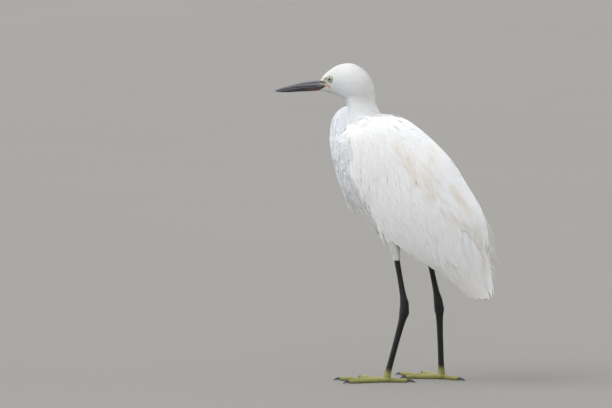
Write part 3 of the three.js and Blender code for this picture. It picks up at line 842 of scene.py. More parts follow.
def bill_material(name, upper):
    """Horn: slate black with fine lengthwise grain, paler and reddish at the base of the lower half, with a
    painted blue-grey highlight along the top of the upper half and painted shade in its nasal groove.
    """
    look = bpy.context.scene.egret_bare
    material, tree, shader = nodes_of(name, Coat_Weight=0.15 if upper else 0.08)
    base, painted_highlight, surface = channels(tree, "Marking")
    grain = noise(tree, 600, 4, (0.08, 1, 1))
    colour = mixed(tree, graded(tree, grain, 1.8, -0.45), look.bill, look.bill_grain_and_highlight)
    colour = mixed(tree, base, colour, look.bill_base)
    # Painted highlight: a blue-grey band along the top of the upper half.
    colour = mixed(tree, painted_highlight, colour, look.bill_grain_and_highlight)
    # Painted shade: near black by the depth of the nasal groove and nostril.
    colour = mixed(tree, measured(tree, "SUBTRACT", 1.0, surface), colour, (0.006, 0.006, 0.007))
    tree.links.new(colour, shader.inputs["Base Color"])
    tree.links.new(graded(tree, grain, 0.25, 0.26), shader.inputs["Roughness"])
    bumped(tree, shader, grain, 0.3, 0.15)
    return material


def eye_material():
    """Pale iris with a dark rim round a black pupil, under a wet gloss."""
    look = bpy.context.scene.egret_bare
    material, tree, shader = nodes_of("eye", Roughness=0.3, Coat_Weight=0.5, Coat_Roughness=0.05)
    ramp = tree.nodes.new("ShaderNodeValToRGB")
    tree.links.new(measured(tree, "DIVIDE", channels(tree, "Around")[0], BEHIND_EYE), ramp.inputs[0])
    pupil, behind = (0.002, 0.002, 0.002), (0.02, 0.02, 0.02)
    stops = [
        # mm from the middle of the pupil, colour
        (0, pupil), (1.6, pupil), (1.8, (0.16, 0.16, 0.11)), (2.05, look.iris), (2.75, look.iris),
        (3.1, (0.16, 0.17, 0.12)), (3.6, (0.04, 0.04, 0.035)), (BEHIND_EYE, behind),
    ]
    elements = ramp.color_ramp.elements
    while len(elements) < len(stops):
        elements.new(0.5)
    for element, (radius, colour) in zip(elements, stops):
        element.position = radius / BEHIND_EYE
        element.color = (*colour[:3], 1)
    tree.links.new(ramp.outputs[0], shader.inputs["Base Color"])
    return material


def scale_material(name, scale, depth):
    """Scaly skin: black on the leg and greenish yellow on the foot, darker between the scales."""
    look = bpy.context.scene.egret_bare
    material, tree, shader = nodes_of(name, Roughness=0.42, Specular_IOR_Level=0.2)
    cells = tree.nodes.new("ShaderNodeTexVoronoi")
    cells.feature = "DISTANCE_TO_EDGE"
    cells.inputs["Scale"].default_value = scale
    tree.links.new(place_socket(tree), cells.inputs["Vector"])
    seam = measured(tree, "MINIMUM", measured(tree, "MULTIPLY", cells.outputs["Distance"], 5.0), 1.0)
    mottle = noise(tree, 160, 4)
    black = mixed(tree, graded(tree, mottle, 1.6, -0.4), look.leg, look.leg_pale)
    yellow = mixed(tree, graded(tree, mottle, 1.5, -0.3), look.foot, look.foot_pale)
    colour = mixed(tree, channels(tree, "Marking")[0], black, yellow)
    colour = mixed(tree, graded(tree, seam, -0.55, 0.55), colour, (0.02, 0.018, 0.012))
    tree.links.new(colour, shader.inputs["Base Color"])
    bumped(tree, shader, seam, 0.6, depth)
    return material


def claw_material():
    """Dark horn, paler in its grain."""
    look = bpy.context.scene.egret_bare
    material, tree, shader = nodes_of("claw", Roughness=0.3)
    grain = noise(tree, 900, 3)
    tree.links.new(mixed(tree, grain, look.claw, look.bill_grain_and_highlight), shader.inputs["Base Color"])
    bumped(tree, shader, grain, 0.2, 0.1)
    return material


# Feathers

# Width of a feather's patch, as a share of the skin's map
PATCH = 0.003
# Length in mm that a vane's own map covers once
VANE_MAP = 40
# The narrow ends of a wing count as at least this many mm round
LEAST_REACH = 4.0


def patch_map(root_uv, across, share):
    """A feather's small patch on the skin's map, round the place of its root."""
    places = (root_uv[..., 0] + across * PATCH / 2, root_uv[..., 1] + (share - 0.5) * PATCH)
    return np.stack(np.broadcast_arrays(*places), -1)


def outline(t, blunt, root):
    """A feather's half width along its length, as a share of its widest."""
    widening = root + (1 - root) * smoothstep(t, 0, 0.45)
    rounding = np.clip((t - blunt) / (1 - blunt), 0, 1)
    return widening * np.sqrt(np.maximum(1 - rounding**2.2, 0.0004))


class Feathers:
    """Broad closed vanes laid on a surface in rows, all in one mesh. A place there is where a tip lies."""

    ROWS = 13
    COLUMNS = 7

    def __init__(self, skin, seed):
        self.shape = Shape()
        self.skin = skin
        self.random = np.random.default_rng(seed)

    def row(self, surface, count, start, end, length, half, lift, bow=0.0, sink=1.7, blunt=0.7, tilt=0.1,
            thick=0.28, root=0.5, jitter=2.0, shade=(0.75, 1.0)):
        random = self.random
        t = np.linspace(0, 1, count) if count > 1 else np.array([0.5])
        along = lerp(start[0], end[0], t) + random.uniform(-jitter, jitter, count) * 0.7
        share = lerp(start[1], end[1], t) + bow * np.sin(math.pi * t)
        share = share + random.uniform(-jitter, jitter, count) * 0.005
        length = length * random.uniform(0.95, 1.05, count)
        half = half * random.uniform(0.94, 1.06, count)
        turn = random.uniform(-0.02, 0.02, count) * jitter
        self.lay(surface, along, share, length, half, lift + random.uniform(-0.15, 0.15, count), turn, sink,
                 blunt, tilt, thick, root, random.uniform(*shade, count))

    def lay(self, surface, along, share, length, half, lift, turn, sink, blunt, tilt, thick, root, shade):
        random = self.random
        count = len(along)
        t = np.sin(np.linspace(0, 1, self.ROWS) * math.pi / 2) ** 0.9
        spine_a, spine_s, spine_l = (np.zeros((count, self.ROWS)) for _ in range(3))
        a, s = along.copy(), share.copy()
        for k in range(self.ROWS - 1, -1, -1):
            spine_a[:, k], spine_s[:, k] = a, s
            lie = surface.lie(a, s) + turn
            spine_l[:, k] = lie
            if k:
                step = (t[k] - t[k - 1]) * length
                a = a - step * np.cos(lie)
                s = s - step * np.sin(lie) / np.maximum(surface.reach(a, s), LEAST_REACH)
        across = np.linspace(-1, 1, self.COLUMNS)
        wide = half[:, None] * outline(t, blunt, root)[None]
        ragged = random.normal(0, 0.025, (count, self.ROWS, self.COLUMNS)) * np.abs(across) ** 3
        off = across * wide[..., None] * (1 + ragged * (1 + 1.5 * t[:, None]))
        height = lerp(-sink, lift[:, None], np.minimum(1, t / 0.6)[None])[..., None]
        shaft = 0.22 * np.exp(-((across / 0.14) ** 2)) * (1 - 0.6 * t[:, None])
        height = height + across * tilt * (wide / half[:, None])[..., None] - 0.35 * across**2 + shaft
        wave = 0.14 * np.sin(9 * t[:, None] + 5 * across + random.uniform(0, 6.3, (count, 1, 1)))
        height = height + wave * np.abs(across)
        depth = thick * (1 - 0.75 * across**2) * (1 - 0.5 * t[:, None])
        height = height - 0.3 * smoothstep(t, 0.75, 1)[:, None]
        faces = []
        for face in (0.5, -0.5):
            lie = spine_l[..., None]
            reach = np.maximum(surface.reach(spine_a, spine_s), LEAST_REACH)[..., None]
            faces.append(surface.point(
                spine_a[..., None] - off * np.sin(lie),
                spine_s[..., None] + off * np.cos(lie) / reach,
                height + face * depth,
            ))
        normal = surface.normal(spine_a, spine_s)[:, :, None]
        way = unit(faces[0][:, :, -1:] - faces[0][:, :, :1])
        normal = unit(normal + 0.16 * across[:, None] * way)
        roots = faces[0][:, 2, self.COLUMNS // 2]
        _, _, found = self.skin.nearest(roots)
        uv = patch_map(self.skin.uv[found][:, None, None], across, t[:, None])
        down_vane = t[None, :, None] * length[:, None, None]
        vane_uv = np.stack(np.broadcast_arrays(across * wide[..., None], down_vane), -1) / VANE_MAP
        # Painted shade: one edge of each long feather darker, standing for the shade between overlapping
        # feathers.
        edge = smoothstep(across, 0.3, 1) * smoothstep(t, 0.25, 0.7)[:, None]
        shade = shade[:, None, None] * (1 - 0.8 * edge * smoothstep(length, 40, 56)[:, None, None])
        self.close(faces, normal, uv, vane_uv, shade, surface.side > 0)

    def close(self, faces, normal, uv, vane_uv, shade, turned):
        """Joins upper and lower faces round their rim."""
        count, rows, across = faces[0].shape[:3]
        each = rows * across
        i, j = np.meshgrid(np.arange(rows - 1), np.arange(across - 1), indexing="ij")
        a = (i * across + j).ravel()
        top = np.stack([a, a + 1, a + across + 1, a + across], 1)
        under = top[:, ::-1] + each
        rim = np.concatenate([
            np.arange(across - 1),
            np.arange(rows - 1) * across + across - 1,
            (rows - 1) * across + np.arange(across - 1, 0, -1),
            np.arange(rows - 1, 0, -1) * across,
        ])
        after = np.roll(rim, -1)
        side = np.stack([rim, rim + each, after + each, after], 1)
        one = np.concatenate([top, under, side])
        if turned:
            one = one[:, ::-1]
        points = np.stack([faces[0].reshape(count, each, 3), faces[1].reshape(count, each, 3)], 1)
        quads = one[None] + (np.arange(count) * 2 * each)[:, None, None]
        marks_and_shade = marks_and_painted_shade(points.reshape(-1, 3))
        marks_and_shade[:, 2] = np.tile(shade.reshape(count, 1, each), (1, 2, 1)).ravel()
        self.shape.add(
            points, quads,
            Normal=np.stack([normal.reshape(count, each, 3), -normal.reshape(count, each, 3)], 1),
            OFBake=np.tile(uv.reshape(count, 1, each, 2), (1, 2, 1, 1)),
            Vane=np.tile(vane_uv.reshape(count, 1, each, 2), (1, 2, 1, 1)),
            Marking=marks_and_shade,
        )


class Locks:
    """Small soft feathers all over a part of the skin, lying along it, in one mesh."""

    STATIONS = np.array([0.0, 0.3, 0.58, 0.82, 1.0])

    def __init__(self, skin, seed):
        self.shape = Shape()
        self.skin = skin
        self.random = np.random.default_rng(seed)

    def roots(self, chance):
        """Evenly scattered places on the skin, chance(points) of them for each square mm."""
        skin, random = self.skin, self.random
        wanted = skin.area * chance(skin.centre)
        total = np.cumsum(wanted)
        marks = np.arange(0.5, total[-1])
        face = np.searchsorted(total, marks)
        u, v = random.uniform(0, 1, (2, len(face), 1))
        corner = skin.co[skin.corner[face]]
        point = lerp(lerp(corner[:, 0], corner[:, 1], u), lerp(corner[:, 3], corner[:, 2], u), v)
        return point, face

    def cover(self, chance, length, half, pile, pointed=0.55, stray=0.12, direction=lie_direction):
        """length, half and pile are functions of the places, or numbers."""
        skin, random = self.skin, self.random
        point, face = self.roots(chance)
        count = len(point)

        def at(value):
            return value(point) if callable(value) else np.full(count, float(value))

        length = at(length) * random.uniform(0.8, 1.2, count)
        half = at(half) * random.uniform(0.8, 1.2, count)
        pile = at(pile) * random.uniform(0.55, 1.3, count)
        lean = random.normal(0, stray, count)
        rows = len(self.STATIONS)
        place, normal = point, skin.normal[face]
        places, normals, ways = [place], [normal], []
        for k in range(1, rows):
            way = direction(place)
            way = unit(way - (way * normal).sum(1, keepdims=True) * normal)
            way = unit(way + np.cross(normal, way) * lean[:, None])
            ways.append(way)
            step = (self.STATIONS[k] - self.STATIONS[k - 1]) * length
            place, normal, _ = skin.nearest(place + way * step[:, None])
            places.append(place)
            normals.append(normal)
        ways.append(ways[-1])
        self.build(np.stack(places, 1), np.stack(normals, 1), np.stack(ways, 1), half, pile, face, pointed)

    def build(self, places, normals, ways, half, pile, face, pointed):
        random = self.random
        count, rows = places.shape[:2]
        t = self.STATIONS
        height = pile[:, None] * (0.05 + 0.95 * np.sin(t * 1.75)) - 0.25 * (1 - t)
        cross = unit(np.cross(normals, ways))
        rounding = np.maximum((t - pointed) / (1 - pointed), 0)
        width = half[:, None] * (0.75 + 0.25 * smoothstep(t, 0, 0.35))
        width = width * np.sqrt(np.maximum(1 - rounding**1.6, 0.0025))
        roll = random.normal(0, 0.12, count)[:, None]
        parts, shading = [], []
        for across in (-1.0, 0.0, 1.0):
            rise = height + (0.24 * (1 - abs(across)) - 0.12) * half[:, None] + across * roll * width
            parts.append(places + normals * rise[..., None] + cross * (across * width)[..., None])
            shading.append(unit(normals + 0.32 * across * cross + 0.08 * ways))
        points = np.stack(parts, 2)
        i, j = np.meshgrid(np.arange(rows - 1), np.arange(2), indexing="ij")
        a = (i * 3 + j).ravel()
        one = np.stack([a, a + 3, a + 4, a + 1], 1)
        quads = one[None] + (np.arange(count) * rows * 3)[:, None, None]
        uv = patch_map(self.skin.uv[face][:, None, None], np.array([-1.0, 0, 1.0]), t[:, None])
        marks_and_shade = marks_and_painted_shade(points.reshape(-1, 3)).reshape(count, rows, 3, 3)
        # Each lock's tone: a random darker tone of its own, with painted shade towards the root, where other
        # locks cover it.
        marks_and_shade[..., 2] = random.uniform(0.65, 1, count)[:, None, None] * lerp(0.85, 1.0, t)[:, None]
        # Painted shadow: the locks grow darker downwards from 200 mm to 160 mm high, under the wings by the
        # thighs.
        marks_and_shade[..., 2] *= smoothstep(points[..., 2], 160, 200)
        self.shape.add(points, quads, Normal=np.stack(shading, 2), OFBake=uv, Marking=marks_and_shade)


# Parts of the coat


def shoulder_share(points):
    """1 on the rounded shoulders at the front of the wings."""
    mirrored = points * [1, 0, 1] + np.abs(points) * [0, 1, 0]
    away = np.linalg.norm((mirrored - SHOULDER_CENTRE) / SHOULDER_REACH, axis=-1)
    return (1 - smoothstep(away, 1.0, 1.08)) * smoothstep(mirrored[..., 1], 9, 14)


def wing_share(points):
    """1 where a skin point lies on a folded wing, its shoulder or the back between the wings."""
    along, up = body_place(points)
    edge = wing_edge(along)
    on_wing = smoothstep(up - edge, -3, 4) * smoothstep(along, -93, -88) * (1 - smoothstep(along, 196, 200))
    in_neck = (points[..., 0] < -8) & (points[..., 2] > 330)
    clear = np.hypot(points[..., 1] / np.maximum(half_width(along), 1),
                     (up - widest(along)) / np.maximum(ridge(along) - widest(along), 1)) > 0.86
    low = up < widest(along)
    on_wing = on_wing * np.where(in_neck, 0, 1) * np.where(clear | low, 1, 0)
    return np.maximum(on_wing, shoulder_share(points))


def neck_share(points):
    """1 on the neck, above the breast and below the head."""
    z = points[..., 2]
    return smoothstep(z, 296, 306) * (1 - smoothstep(z, 360, 366))


def feathered_face(points):
    return 1 - smoothstep(bare_face(points), 0.25, 0.6)


def under_bill(points):
    """1 where the bill covers the face."""
    x, y, z = points[..., 0], points[..., 1], points[..., 2]
    return (x < -80) & (z > 376) & (z < 385.4) & (np.abs(y) > 2) | (x < -91.5)


def covering(overlap, length, half):
    """Feathers for each square mm that cover the skin this many times over."""
    return overlap / (length * half * 2)


def head_length(points):
    return lerp(2.2, 6.4, smoothstep(eye_distance(points), 5, 30))


def coat_head(skin):
    locks = Locks(skin, 3)
    far = lambda p, low, high: smoothstep(eye_distance(p), low, high)
    half = lambda p: lerp(0.34, 0.58, far(p, 6, 30))

    def chance(p):
        on = smoothstep(p[..., 2], 356, 362) * feathered_face(p) * ~under_bill(p)
        return on * covering(7.5, head_length(p), half(p))

    locks.cover(chance, head_length, half, lambda p: lerp(0.5, 0.95, far(p, 8, 34)), stray=0.07)
    return locks


def coat_neck(skin):
    locks = Locks(skin, 5)
    length, half = 10, 0.6
    chance = lambda p: neck_share(p) * (1 - wing_share(p)) * covering(9, length, half)
    locks.cover(chance, length, half, 1.7, stray=0.08)
    return locks


def coat_breast(skin):
    locks = Locks(skin, 7)
    low = lambda p: 1 - smoothstep(p[..., 2], 262, 306)
    length = lambda p: lerp(10, 14, low(p))
    half = lambda p: lerp(0.6, 0.8, low(p))

    def chance(p):
        along, _ = body_place(p)
        front = (1 - smoothstep(p[..., 2], 296, 306)) * (1 - smoothstep(along, -18, -4))
        return front * (1 - wing_share(p)) * covering(11, length(p), half(p))

    locks.cover(chance, length, half, lambda p: lerp(1.7, 2.2, low(p)), pointed=0.4, stray=0.1)
    return locks


def on_thigh(points):
    """1 by the lower end of either thigh."""
    gaps = [np.linalg.norm((points - leg["knee"])[..., :2], axis=-1) for leg in LEGS.values()]
    return (1 - smoothstep(points[..., 2], 188, 206)) * (1 - smoothstep(np.minimum(*gaps), 12, 24))


def coat_body(skin):
    locks = Locks(skin, 9)
    length = lambda p: lerp(17, 7.5, on_thigh(p))
    half = lambda p: lerp(1.2, 0.6, on_thigh(p))

    def chance(p):
        along, _ = body_place(p)
        behind = smoothstep(along, -18, -4)
        return behind * (1 - wing_share(p)) * covering(9, length(p), half(p)) * (p[..., 2] > 160)

    locks.cover(chance, length, half, lambda p: lerp(2.4, 1.2, on_thigh(p)), pointed=0.45, stray=0.11)
    return locks


def wing_lie(points):
    """The way that small feathers point on the front of the wing."""
    out = 0.06 * np.sign(points[..., 1]) * smoothstep(np.abs(points[..., 1]), 0, 30)
    down = lerp(0.0, 0.62, smoothstep(np.abs(points[..., 1]), 4, 46))
    way = np.broadcast_to(ALONG, points.shape) - down[..., None] * UP
    return unit(way + out[..., None] * np.array([0, 1.0, 0]))


def coat_shoulders(skin):
    locks = Locks(skin, 11)
    back = lambda p: smoothstep(body_place(p)[0], -80, 20)
    length = lambda p: lerp(9, 17, back(p))
    half = lambda p: lerp(0.9, 2.0, back(p))

    def chance(p):
        along, _ = body_place(p)
        return wing_share(p) * (1 - smoothstep(along, 34, 60)) * covering(10, length(p), half(p))

    locks.cover(chance, length, half, 1.3, pointed=0.6, stray=0.06, direction=wing_lie)
    return locks


# Rows of coverts from the wing's edge up to the back, by where their tips lie
COVERT_FIELD = [
    # share, first tip, last tip, length, half width, lift
    (0.93, -30, 44, 30, 4.6, 0.5), (0.87, -36, 66, 32, 4.8, 0.6), (0.81, -42, 100, 36, 5.0, 0.7),
    (0.75, -48, 130, 40, 5.2, 0.8), (0.69, -54, 148, 44, 5.4, 0.9), (0.63, -58, 138, 42, 5.2, 1.0),
    (0.57, -60, 132, 38, 5.0, 1.1), (0.51, -60, 126, 36, 4.8, 1.2), (0.45, -60, 120, 34, 4.8, 1.3),
    (0.39, -60, 114, 34, 4.8, 1.4), (0.33, -54, 108, 32, 4.8, 1.5), (0.27, -50, 100, 32, 4.8, 1.6),
    (0.21, -48, 90, 32, 4.8, 1.7), (0.15, -46, 80, 32, 4.8, 1.75),
]
# Primaries, secondaries and their coverts, then the tertials in two rows
LONG_ROWS = [
    # feathers, first tip, last tip, length, half width, lift, and what differs from a plain row
    (12, (181, 0.985), (WING_TIP, 0.36), 84, 5.4, 0.2, {"bow": 0.15, "sink": 1.6, "blunt": 0.55}),
    (20, (46, 0.995), (172, 0.985), 60, 6.0, 0.4, {"blunt": 0.6, "jitter": 2.5}),
    (19, (54, 0.93), (168, 0.9), 56, 5.4, 0.55, {"blunt": 0.6, "jitter": 3}),
    (8, (160, 0.62), (WING_TIP - 1, 0.13), 84, 6.6, 0.9, {"blunt": 0.6}),
    (8, (148, 0.6), (188, 0.18), 72, 6.0, 1.1, {"sink": 1.6, "blunt": 0.6, "jitter": 3}),
]
SCAPULAR_ROWS = [
    # first tip, last tip, length, half width, lift
    ((66, 0.46), (154, 0.16), 58, 6.0, 1.6), ((48, 0.38), (142, 0.12), 54, 5.8, 1.8),
    ((24, 0.28), (122, 0.08), 48, 5.6, 2.0),
]
COVERT_SPACING = 5.2


def wing_feathers(skin, side):
    """One folded wing: long feathers first, then a field of coverts, then the shoulder feathers."""
    wing = Feathers(skin, 21 if side < 0 else 33)
    surface = WingSurface(side)
    for count, first, last, length, half, lift, rest in LONG_ROWS:
        wing.row(surface, count, first, last, length, half, lift, **rest)
    for share, first, last, length, half, lift in COVERT_FIELD:
        count = int((last - first) / COVERT_SPACING)
        wing.row(surface, count, (first, share + 0.02), (last, share - 0.02), length, half, lift,
                 sink=1.5, blunt=0.5, jitter=5.5)
    for first, last, length, half, lift in SCAPULAR_ROWS:
        wing.row(surface, 19, first, last, length, half, lift, bow=0.07, sink=1.4, blunt=0.5, jitter=3)
    return wing


def mantle_feathers(skin):
    """Feathers down the middle of the back, over both wings."""
    back = Feathers(skin, 41)
    surface = WingSurface(1)
    for k, along in enumerate(np.linspace(146, -40, 26)):
        for share in (-0.16, -0.05, 0.05, 0.16) if k % 2 else (-0.11, 0.0, 0.11):
            place = (along, share)
            length = lerp(26, 42, smoothstep(along, -40, 80))
            back.row(surface, 1, place, place, length, 5.4, 1.95, sink=0.9, blunt=0.5, tilt=0.0, jitter=4)
    return back


def tail_feathers(skin):
    tail = Feathers(skin, 51)
    surface = TailSurface()
    for k, out in enumerate((6.2, 5.1, 4.0, 2.9, 1.9, 0.8)):
        for side in (-1, 1):
            tip = (TAIL_TIP - 0.5 * out, side * out)
            tail.row(surface, 1, tip, tip, 54, 5.0, -1.7 + 0.5 * k, sink=1.5 - 0.25 * k, blunt=0.7,
                     tilt=0.12 * side, thick=0.45, jitter=0.5)
    return tail


def hanging_locks(skin, seed, roots, ways, lengths, radii, droop, sides=3):
    """Thin free locks from roots, drooping along their length."""
    random = np.random.default_rng(seed)
    shape = Shape()
    _, _, face = skin.nearest(roots)
    t = np.linspace(0, 1, 9)
    for k, root in enumerate(roots):
        sway = random.normal(0, 0.05, 3)
        path = root + lengths[k] * (t[:, None] * (ways[k] + sway * t[:, None]) + t[:, None] ** 2 * droop)
        radius = radii[k] * np.sqrt(np.maximum(1 - t**1.5, 0.004)) * (0.6 + 0.4 * smoothstep(t, 0, 0.2))
        points, quads, ends = lofted(tube_rings(path, radius * 0.5, radius, sides))
        share = np.append(np.repeat(t, sides), [0, 1])
        turn = np.append(np.tile(np.linspace(-1, 1, sides), len(t)), [0, 0])
        uv = patch_map(skin.uv[face[k]], turn, share)
        marks_and_shade = marks_and_painted_shade(points)
        marks_and_shade[:, 0] = np.maximum(marks_and_shade[:, 0], 0.35 * share)
        marks_and_shade[:, 2] = random.uniform(0.6, 1)
        shape.add(points, quads, ends, OFBake=uv, Marking=marks_and_shade)
    return shape


def breast_plumes(skin):
    """Loose locks that hang from the lower breast, gathered into a few wisps."""
    random = np.random.default_rng(61)
    count = 80
    side = random.uniform(-22, 22, count)
    height = 238 + 0.012 * side**2 + random.uniform(-2, 12, count)
    roots = np.stack([-53 + 0.014 * side**2 - 0.3 * (height - 240), side, height], 1)
    wisp = np.round(side / 5.2) * 5.2
    way = np.stack([-0.05 + 0.12 * np.sin(wisp), (wisp - side) / 38, np.full(count, -0.95)], 1)
    length = random.uniform(20, 36, count) * (1 - 0.012 * np.abs(side))
    radius = random.uniform(0.25, 0.6, count)
    return hanging_locks(skin, 62, roots, way, length, radius, np.array([0.42, 0, 0.0]))


def loose_filaments(skin):
    """Fine loose barbs that hang behind the folded wings."""
    random = np.random.default_rng(71)
    count = 46
    surface = WingSurface(1)
    along = random.uniform(100, 172, count)
    share = random.uniform(-0.16, 0.16, count)
    roots = surface.point(along, share, 0.6)
    way = ALONG + np.array([0.1, 0, 0]) * random.uniform(-0.4, 0.9, (count, 1))
    way = way + random.normal(0, 0.03, (count, 3))
    length = random.uniform(16, 30, count) * (1 - 0.4 * smoothstep(along, 140, 175))
    radius = random.uniform(0.12, 0.3, count)
    return hanging_locks(skin, 72, roots, way, length, radius, np.array([-0.06, 0, -0.12]))


# Bill

BILL = [
    (-82, 384.3, 380.6, 377.6, 10.9), (-88, 385.6, 379.8, 375, 8.7), (-94, 386.3, 379.2, 373.2, 6.2),
    (-104, 385.3, 378.1, 372.2, 5.1), (-115, 383.5, 376.8, 371.4, 4.4), (-125, 381.1, 375.3, 370.6, 3.8),
    (-135, 378.3, 373.6, 369.8, 3), (-145, 375.3, 372, 369.5, 2), (-152, 372.8, 371.2, 369.8, 1.1),
    (-155, 371.4, 370.8, 370.3, 0.5),
]


def bill_half(upper):
    """One half of the bill, with its ridge, nasal groove and cutting edge."""
    x = np.concatenate([np.linspace(-155, -146, 14), np.linspace(-145, -82, 74)])
    culmen, mouth, under, half = (curve(x) for curve in columns(BILL))
    gap = 0.15
    flat = mouth + (gap if upper else -gap)
    tall = (culmen - flat) if upper else (flat - under)
    arc = np.linspace(0, math.pi, 29)
    cosine, sine = np.cos(arc), np.sin(arc)
    power = 0.86 if upper else 0.95
    out = np.sign(cosine) * np.abs(cosine) ** power
    rise = sine ** (0.95 if upper else 1.0)
    y = half[:, None] * out
    z = flat[:, None] + (1 if upper else -1) * tall[:, None] * rise
    groove = np.zeros_like(y)
    if upper:
        length = smoothstep(x, -132, -112) * (1 - smoothstep(x, -92, -88))
        groove = 0.45 * np.exp(-(((rise - 0.55) / 0.13) ** 2)) * length[:, None]
        nostril = np.exp(-(((x + 98) / 5.0) ** 4))[:, None]
        groove = groove + 0.7 * nostril * np.exp(-(((rise - 0.58) / 0.09) ** 2))
        y = y - np.sign(out) * groove
    inside = np.linspace(-0.9, 0.9, 9)
    y = np.concatenate([y, half[:, None] * inside], 1)
    z = np.concatenate([z, flat[:, None] + 0 * inside], 1)
    body, quads, ends = lofted(stacked(x[:, None], y, z))
    if not upper:
        quads, ends = quads[:, ::-1], ends[:, ::-1]
    depth = np.append(np.concatenate([groove, 0 * half[:, None] * inside], 1).ravel(), [0, 0])
    px, pz = body[:, 0], body[:, 2]
    if upper:
        base = 0.25 * smoothstep(px, -90, -84)
        # Painted highlight: a blue-grey band high on the sides and over the ridge near the base, kept out of
        # the groove.
        painted_highlight = 0.5 * smoothstep(pz, 379, 383) * smoothstep(px, -140, -118) * (1 - smoothstep(px, -104, -98))
        painted_highlight = np.maximum(painted_highlight, 0.9 * smoothstep(pz, 384.6, 385.8) * band(px, -106, -92, 3))
        painted_highlight = painted_highlight * (1 - np.clip(depth / 0.5, 0, 1))
    else:
        base = band(px, -106, -86, 4) * lerp(0.35, 1.0, smoothstep(pz, 377.5, 375))
        painted_highlight = 0.0
    # Third channel: 1 less the groove's depth, for painted shade in the nasal groove and nostril.
    return Shape().add(body, quads, ends, Marking=stacked(base, painted_highlight, 1 - np.clip(depth, 0, 1)))


# Eyes


def eye_frame(side):
    """The middle of an eye and three directions: out, forward and up."""
    centre = np.array([EYE_X, side * EYE_OUT, EYE_Z])
    tilt = math.radians(EYE_TILT)
    out = np.array([-math.sin(tilt), side * math.cos(tilt), 0.05])
    out = out / np.linalg.norm(out)
    up = np.array([0, 0, 1.0]) - out[2] * out
    up = up / np.linalg.norm(up)
    return centre, out, np.cross(up, out), up


def eye_ball(side):
    """A ball with a low clear bulge over the iris."""
    centre, out, fore, up = eye_frame(side)
    rings = np.linspace(0.02, math.pi - 0.02, 60)
    around = ring_angles(64)
    radius = EYE_RADIUS - 0.12 + 0.28 * np.exp(-((rings / 0.5) ** 2))
    across = radius * np.sin(rings)
    points = (
        centre
        + (radius * np.cos(rings))[:, None, None] * out
        + (across[:, None] * np.cos(around))[..., None] * fore
        + (across[:, None] * np.sin(around))[..., None] * up
    )
    body, quads, ends = lofted(points)
    if side > 0:
        quads, ends = quads[:, ::-1], ends[:, ::-1]
    away = np.append(np.repeat(np.where(rings < math.pi / 2, across, BEHIND_EYE), 64), [0, BEHIND_EYE])
    return Shape().add(body, quads, ends, Around=stacked(away, away, away))


def eye_lids(side):
    """The bare rim of skin round the eye, a little almond-shaped."""
    centre, out, fore, up = eye_frame(side)
    around = ring_angles(72)
    opening = np.radians(35 - 2 * np.abs(np.sin(around)) ** 1.5)
    stations = [
        # angle past the opening, radius
        (0.0, 5.12), (0.03, 5.45), (0.1, 5.75), (0.2, 5.8), (0.34, 5.55), (0.52, 5.15), (0.75, 4.7),
    ]
    rings = []
    for add, radius in stations:
        polar = opening + add
        wrinkle = 0.05 * np.sin(around * 17 + add * 9) * (0.1 < add < 0.5)
        far = radius + wrinkle
        rings.append(
            centre
            + (far * np.cos(polar))[:, None] * out
            + (far * np.sin(polar) * np.cos(around))[:, None] * fore
            + (far * np.sin(polar) * np.sin(around))[:, None] * up
        )
    body, quads, _ = lofted(np.array(rings), closed=False)
    if side < 0:
        quads = quads[:, ::-1]
    edge = np.repeat([1.0, 0.6, 0.15, 0, 0, 0, 0], 72)[:, None]
    ahead = smoothstep(np.tile(np.cos(around), len(stations)), -0.3, 0.6)[:, None]
    look = bpy.context.scene.egret_bare
    paint = lerp(np.array(look.eye_rim), np.array(look.lores_pale), ahead)
    return Shape().add(body, quads, Paint=lerp(paint, 0.3 * np.array(look.eye_rim), edge))


# Legs and feet

SHIN = [(0, 3.8, 3.4), (0.4, 3.5, 3.2), (0.72, 4.1, 3.7), (0.88, 5.6, 4.7), (1.04, 7, 5.4)]
TARSUS = [
    (-0.03, 7, 5.4), (0.06, 6.6, 5.3), (0.15, 5, 4.4), (0.3, 4.2, 3.8),
    (0.6, 3.8, 3.4), (0.88, 4, 3.8), (0.96, 4.8, 4.8), (1.03, 5.2, 5.2),
]
TOES = [("inner", -30, 46, 8), ("middle", 2, 62, 9), ("outer", 33, 51, 8), ("hind", 186, 27, 11)]
TOE_LEVEL = 2.6
TOE = [(0, 3.2), (0.26, 3), (0.42, 2.55), (0.56, 3), (0.7, 2.45), (0.83, 2.95), (1, 2.1)]
CLAW = [(-0.12, 0.3, 1.9), (0.35, -0.2, 1.6), (0.75, 0.9, 1), (1, 2.2, 0.35)]
SCUTE = 3.1
TOE_SCALE = 2.3
FOOT_BALL = np.array([6.2, 6.0, 4.6])
FOOT_BALL_RISE = np.array([0, 0, 1.2])


def leg_shape(leg):
    """Shin and shank in one piece, with a row of broad scales down the front of the shank."""
    shin, shank = np.linspace(-0.08, 0.9, 90), np.linspace(0.06, 1.0, 150)
    path = np.concatenate([
        leg["knee"] + shin[:, None] * (leg["ankle"] - leg["knee"]),
        leg["ankle"] + shank[:, None] * (leg["foot"] - leg["ankle"]),
    ])
    deep, wide = (
        np.concatenate([upper(shin), lower(shank)]) for upper, lower in zip(columns(SHIN), columns(TARSUS))
    )
    rings = tube_rings(path, deep, wide, 32)
    length = np.append(0, np.cumsum(np.linalg.norm(np.diff(path, axis=0), axis=1)))[:, None]
    off = rings - path[:, None]
    front = smoothstep(-off[:, :, 0] / deep[:, None], 0.1, 0.5)
    step = 0.28 * ((length / SCUTE) % 1.0 - 0.5) * front * smoothstep(length, 74, 84)
    body, quads, ends = lofted(path[:, None] + off * (1 + step[..., None] / 4.0))
    return Shape().add(body, quads, ends, Marking=stacked(1 - smoothstep(body[:, 2], 9, 20), 0, 0))


def toe_way(leg, angle):
    out = math.radians(angle + leg["turn"])
    return np.array([-math.cos(out), leg["side"] * math.sin(out), 0])


def foot_middle(leg):
    return np.array([*leg["foot"][:2], TOE_LEVEL])


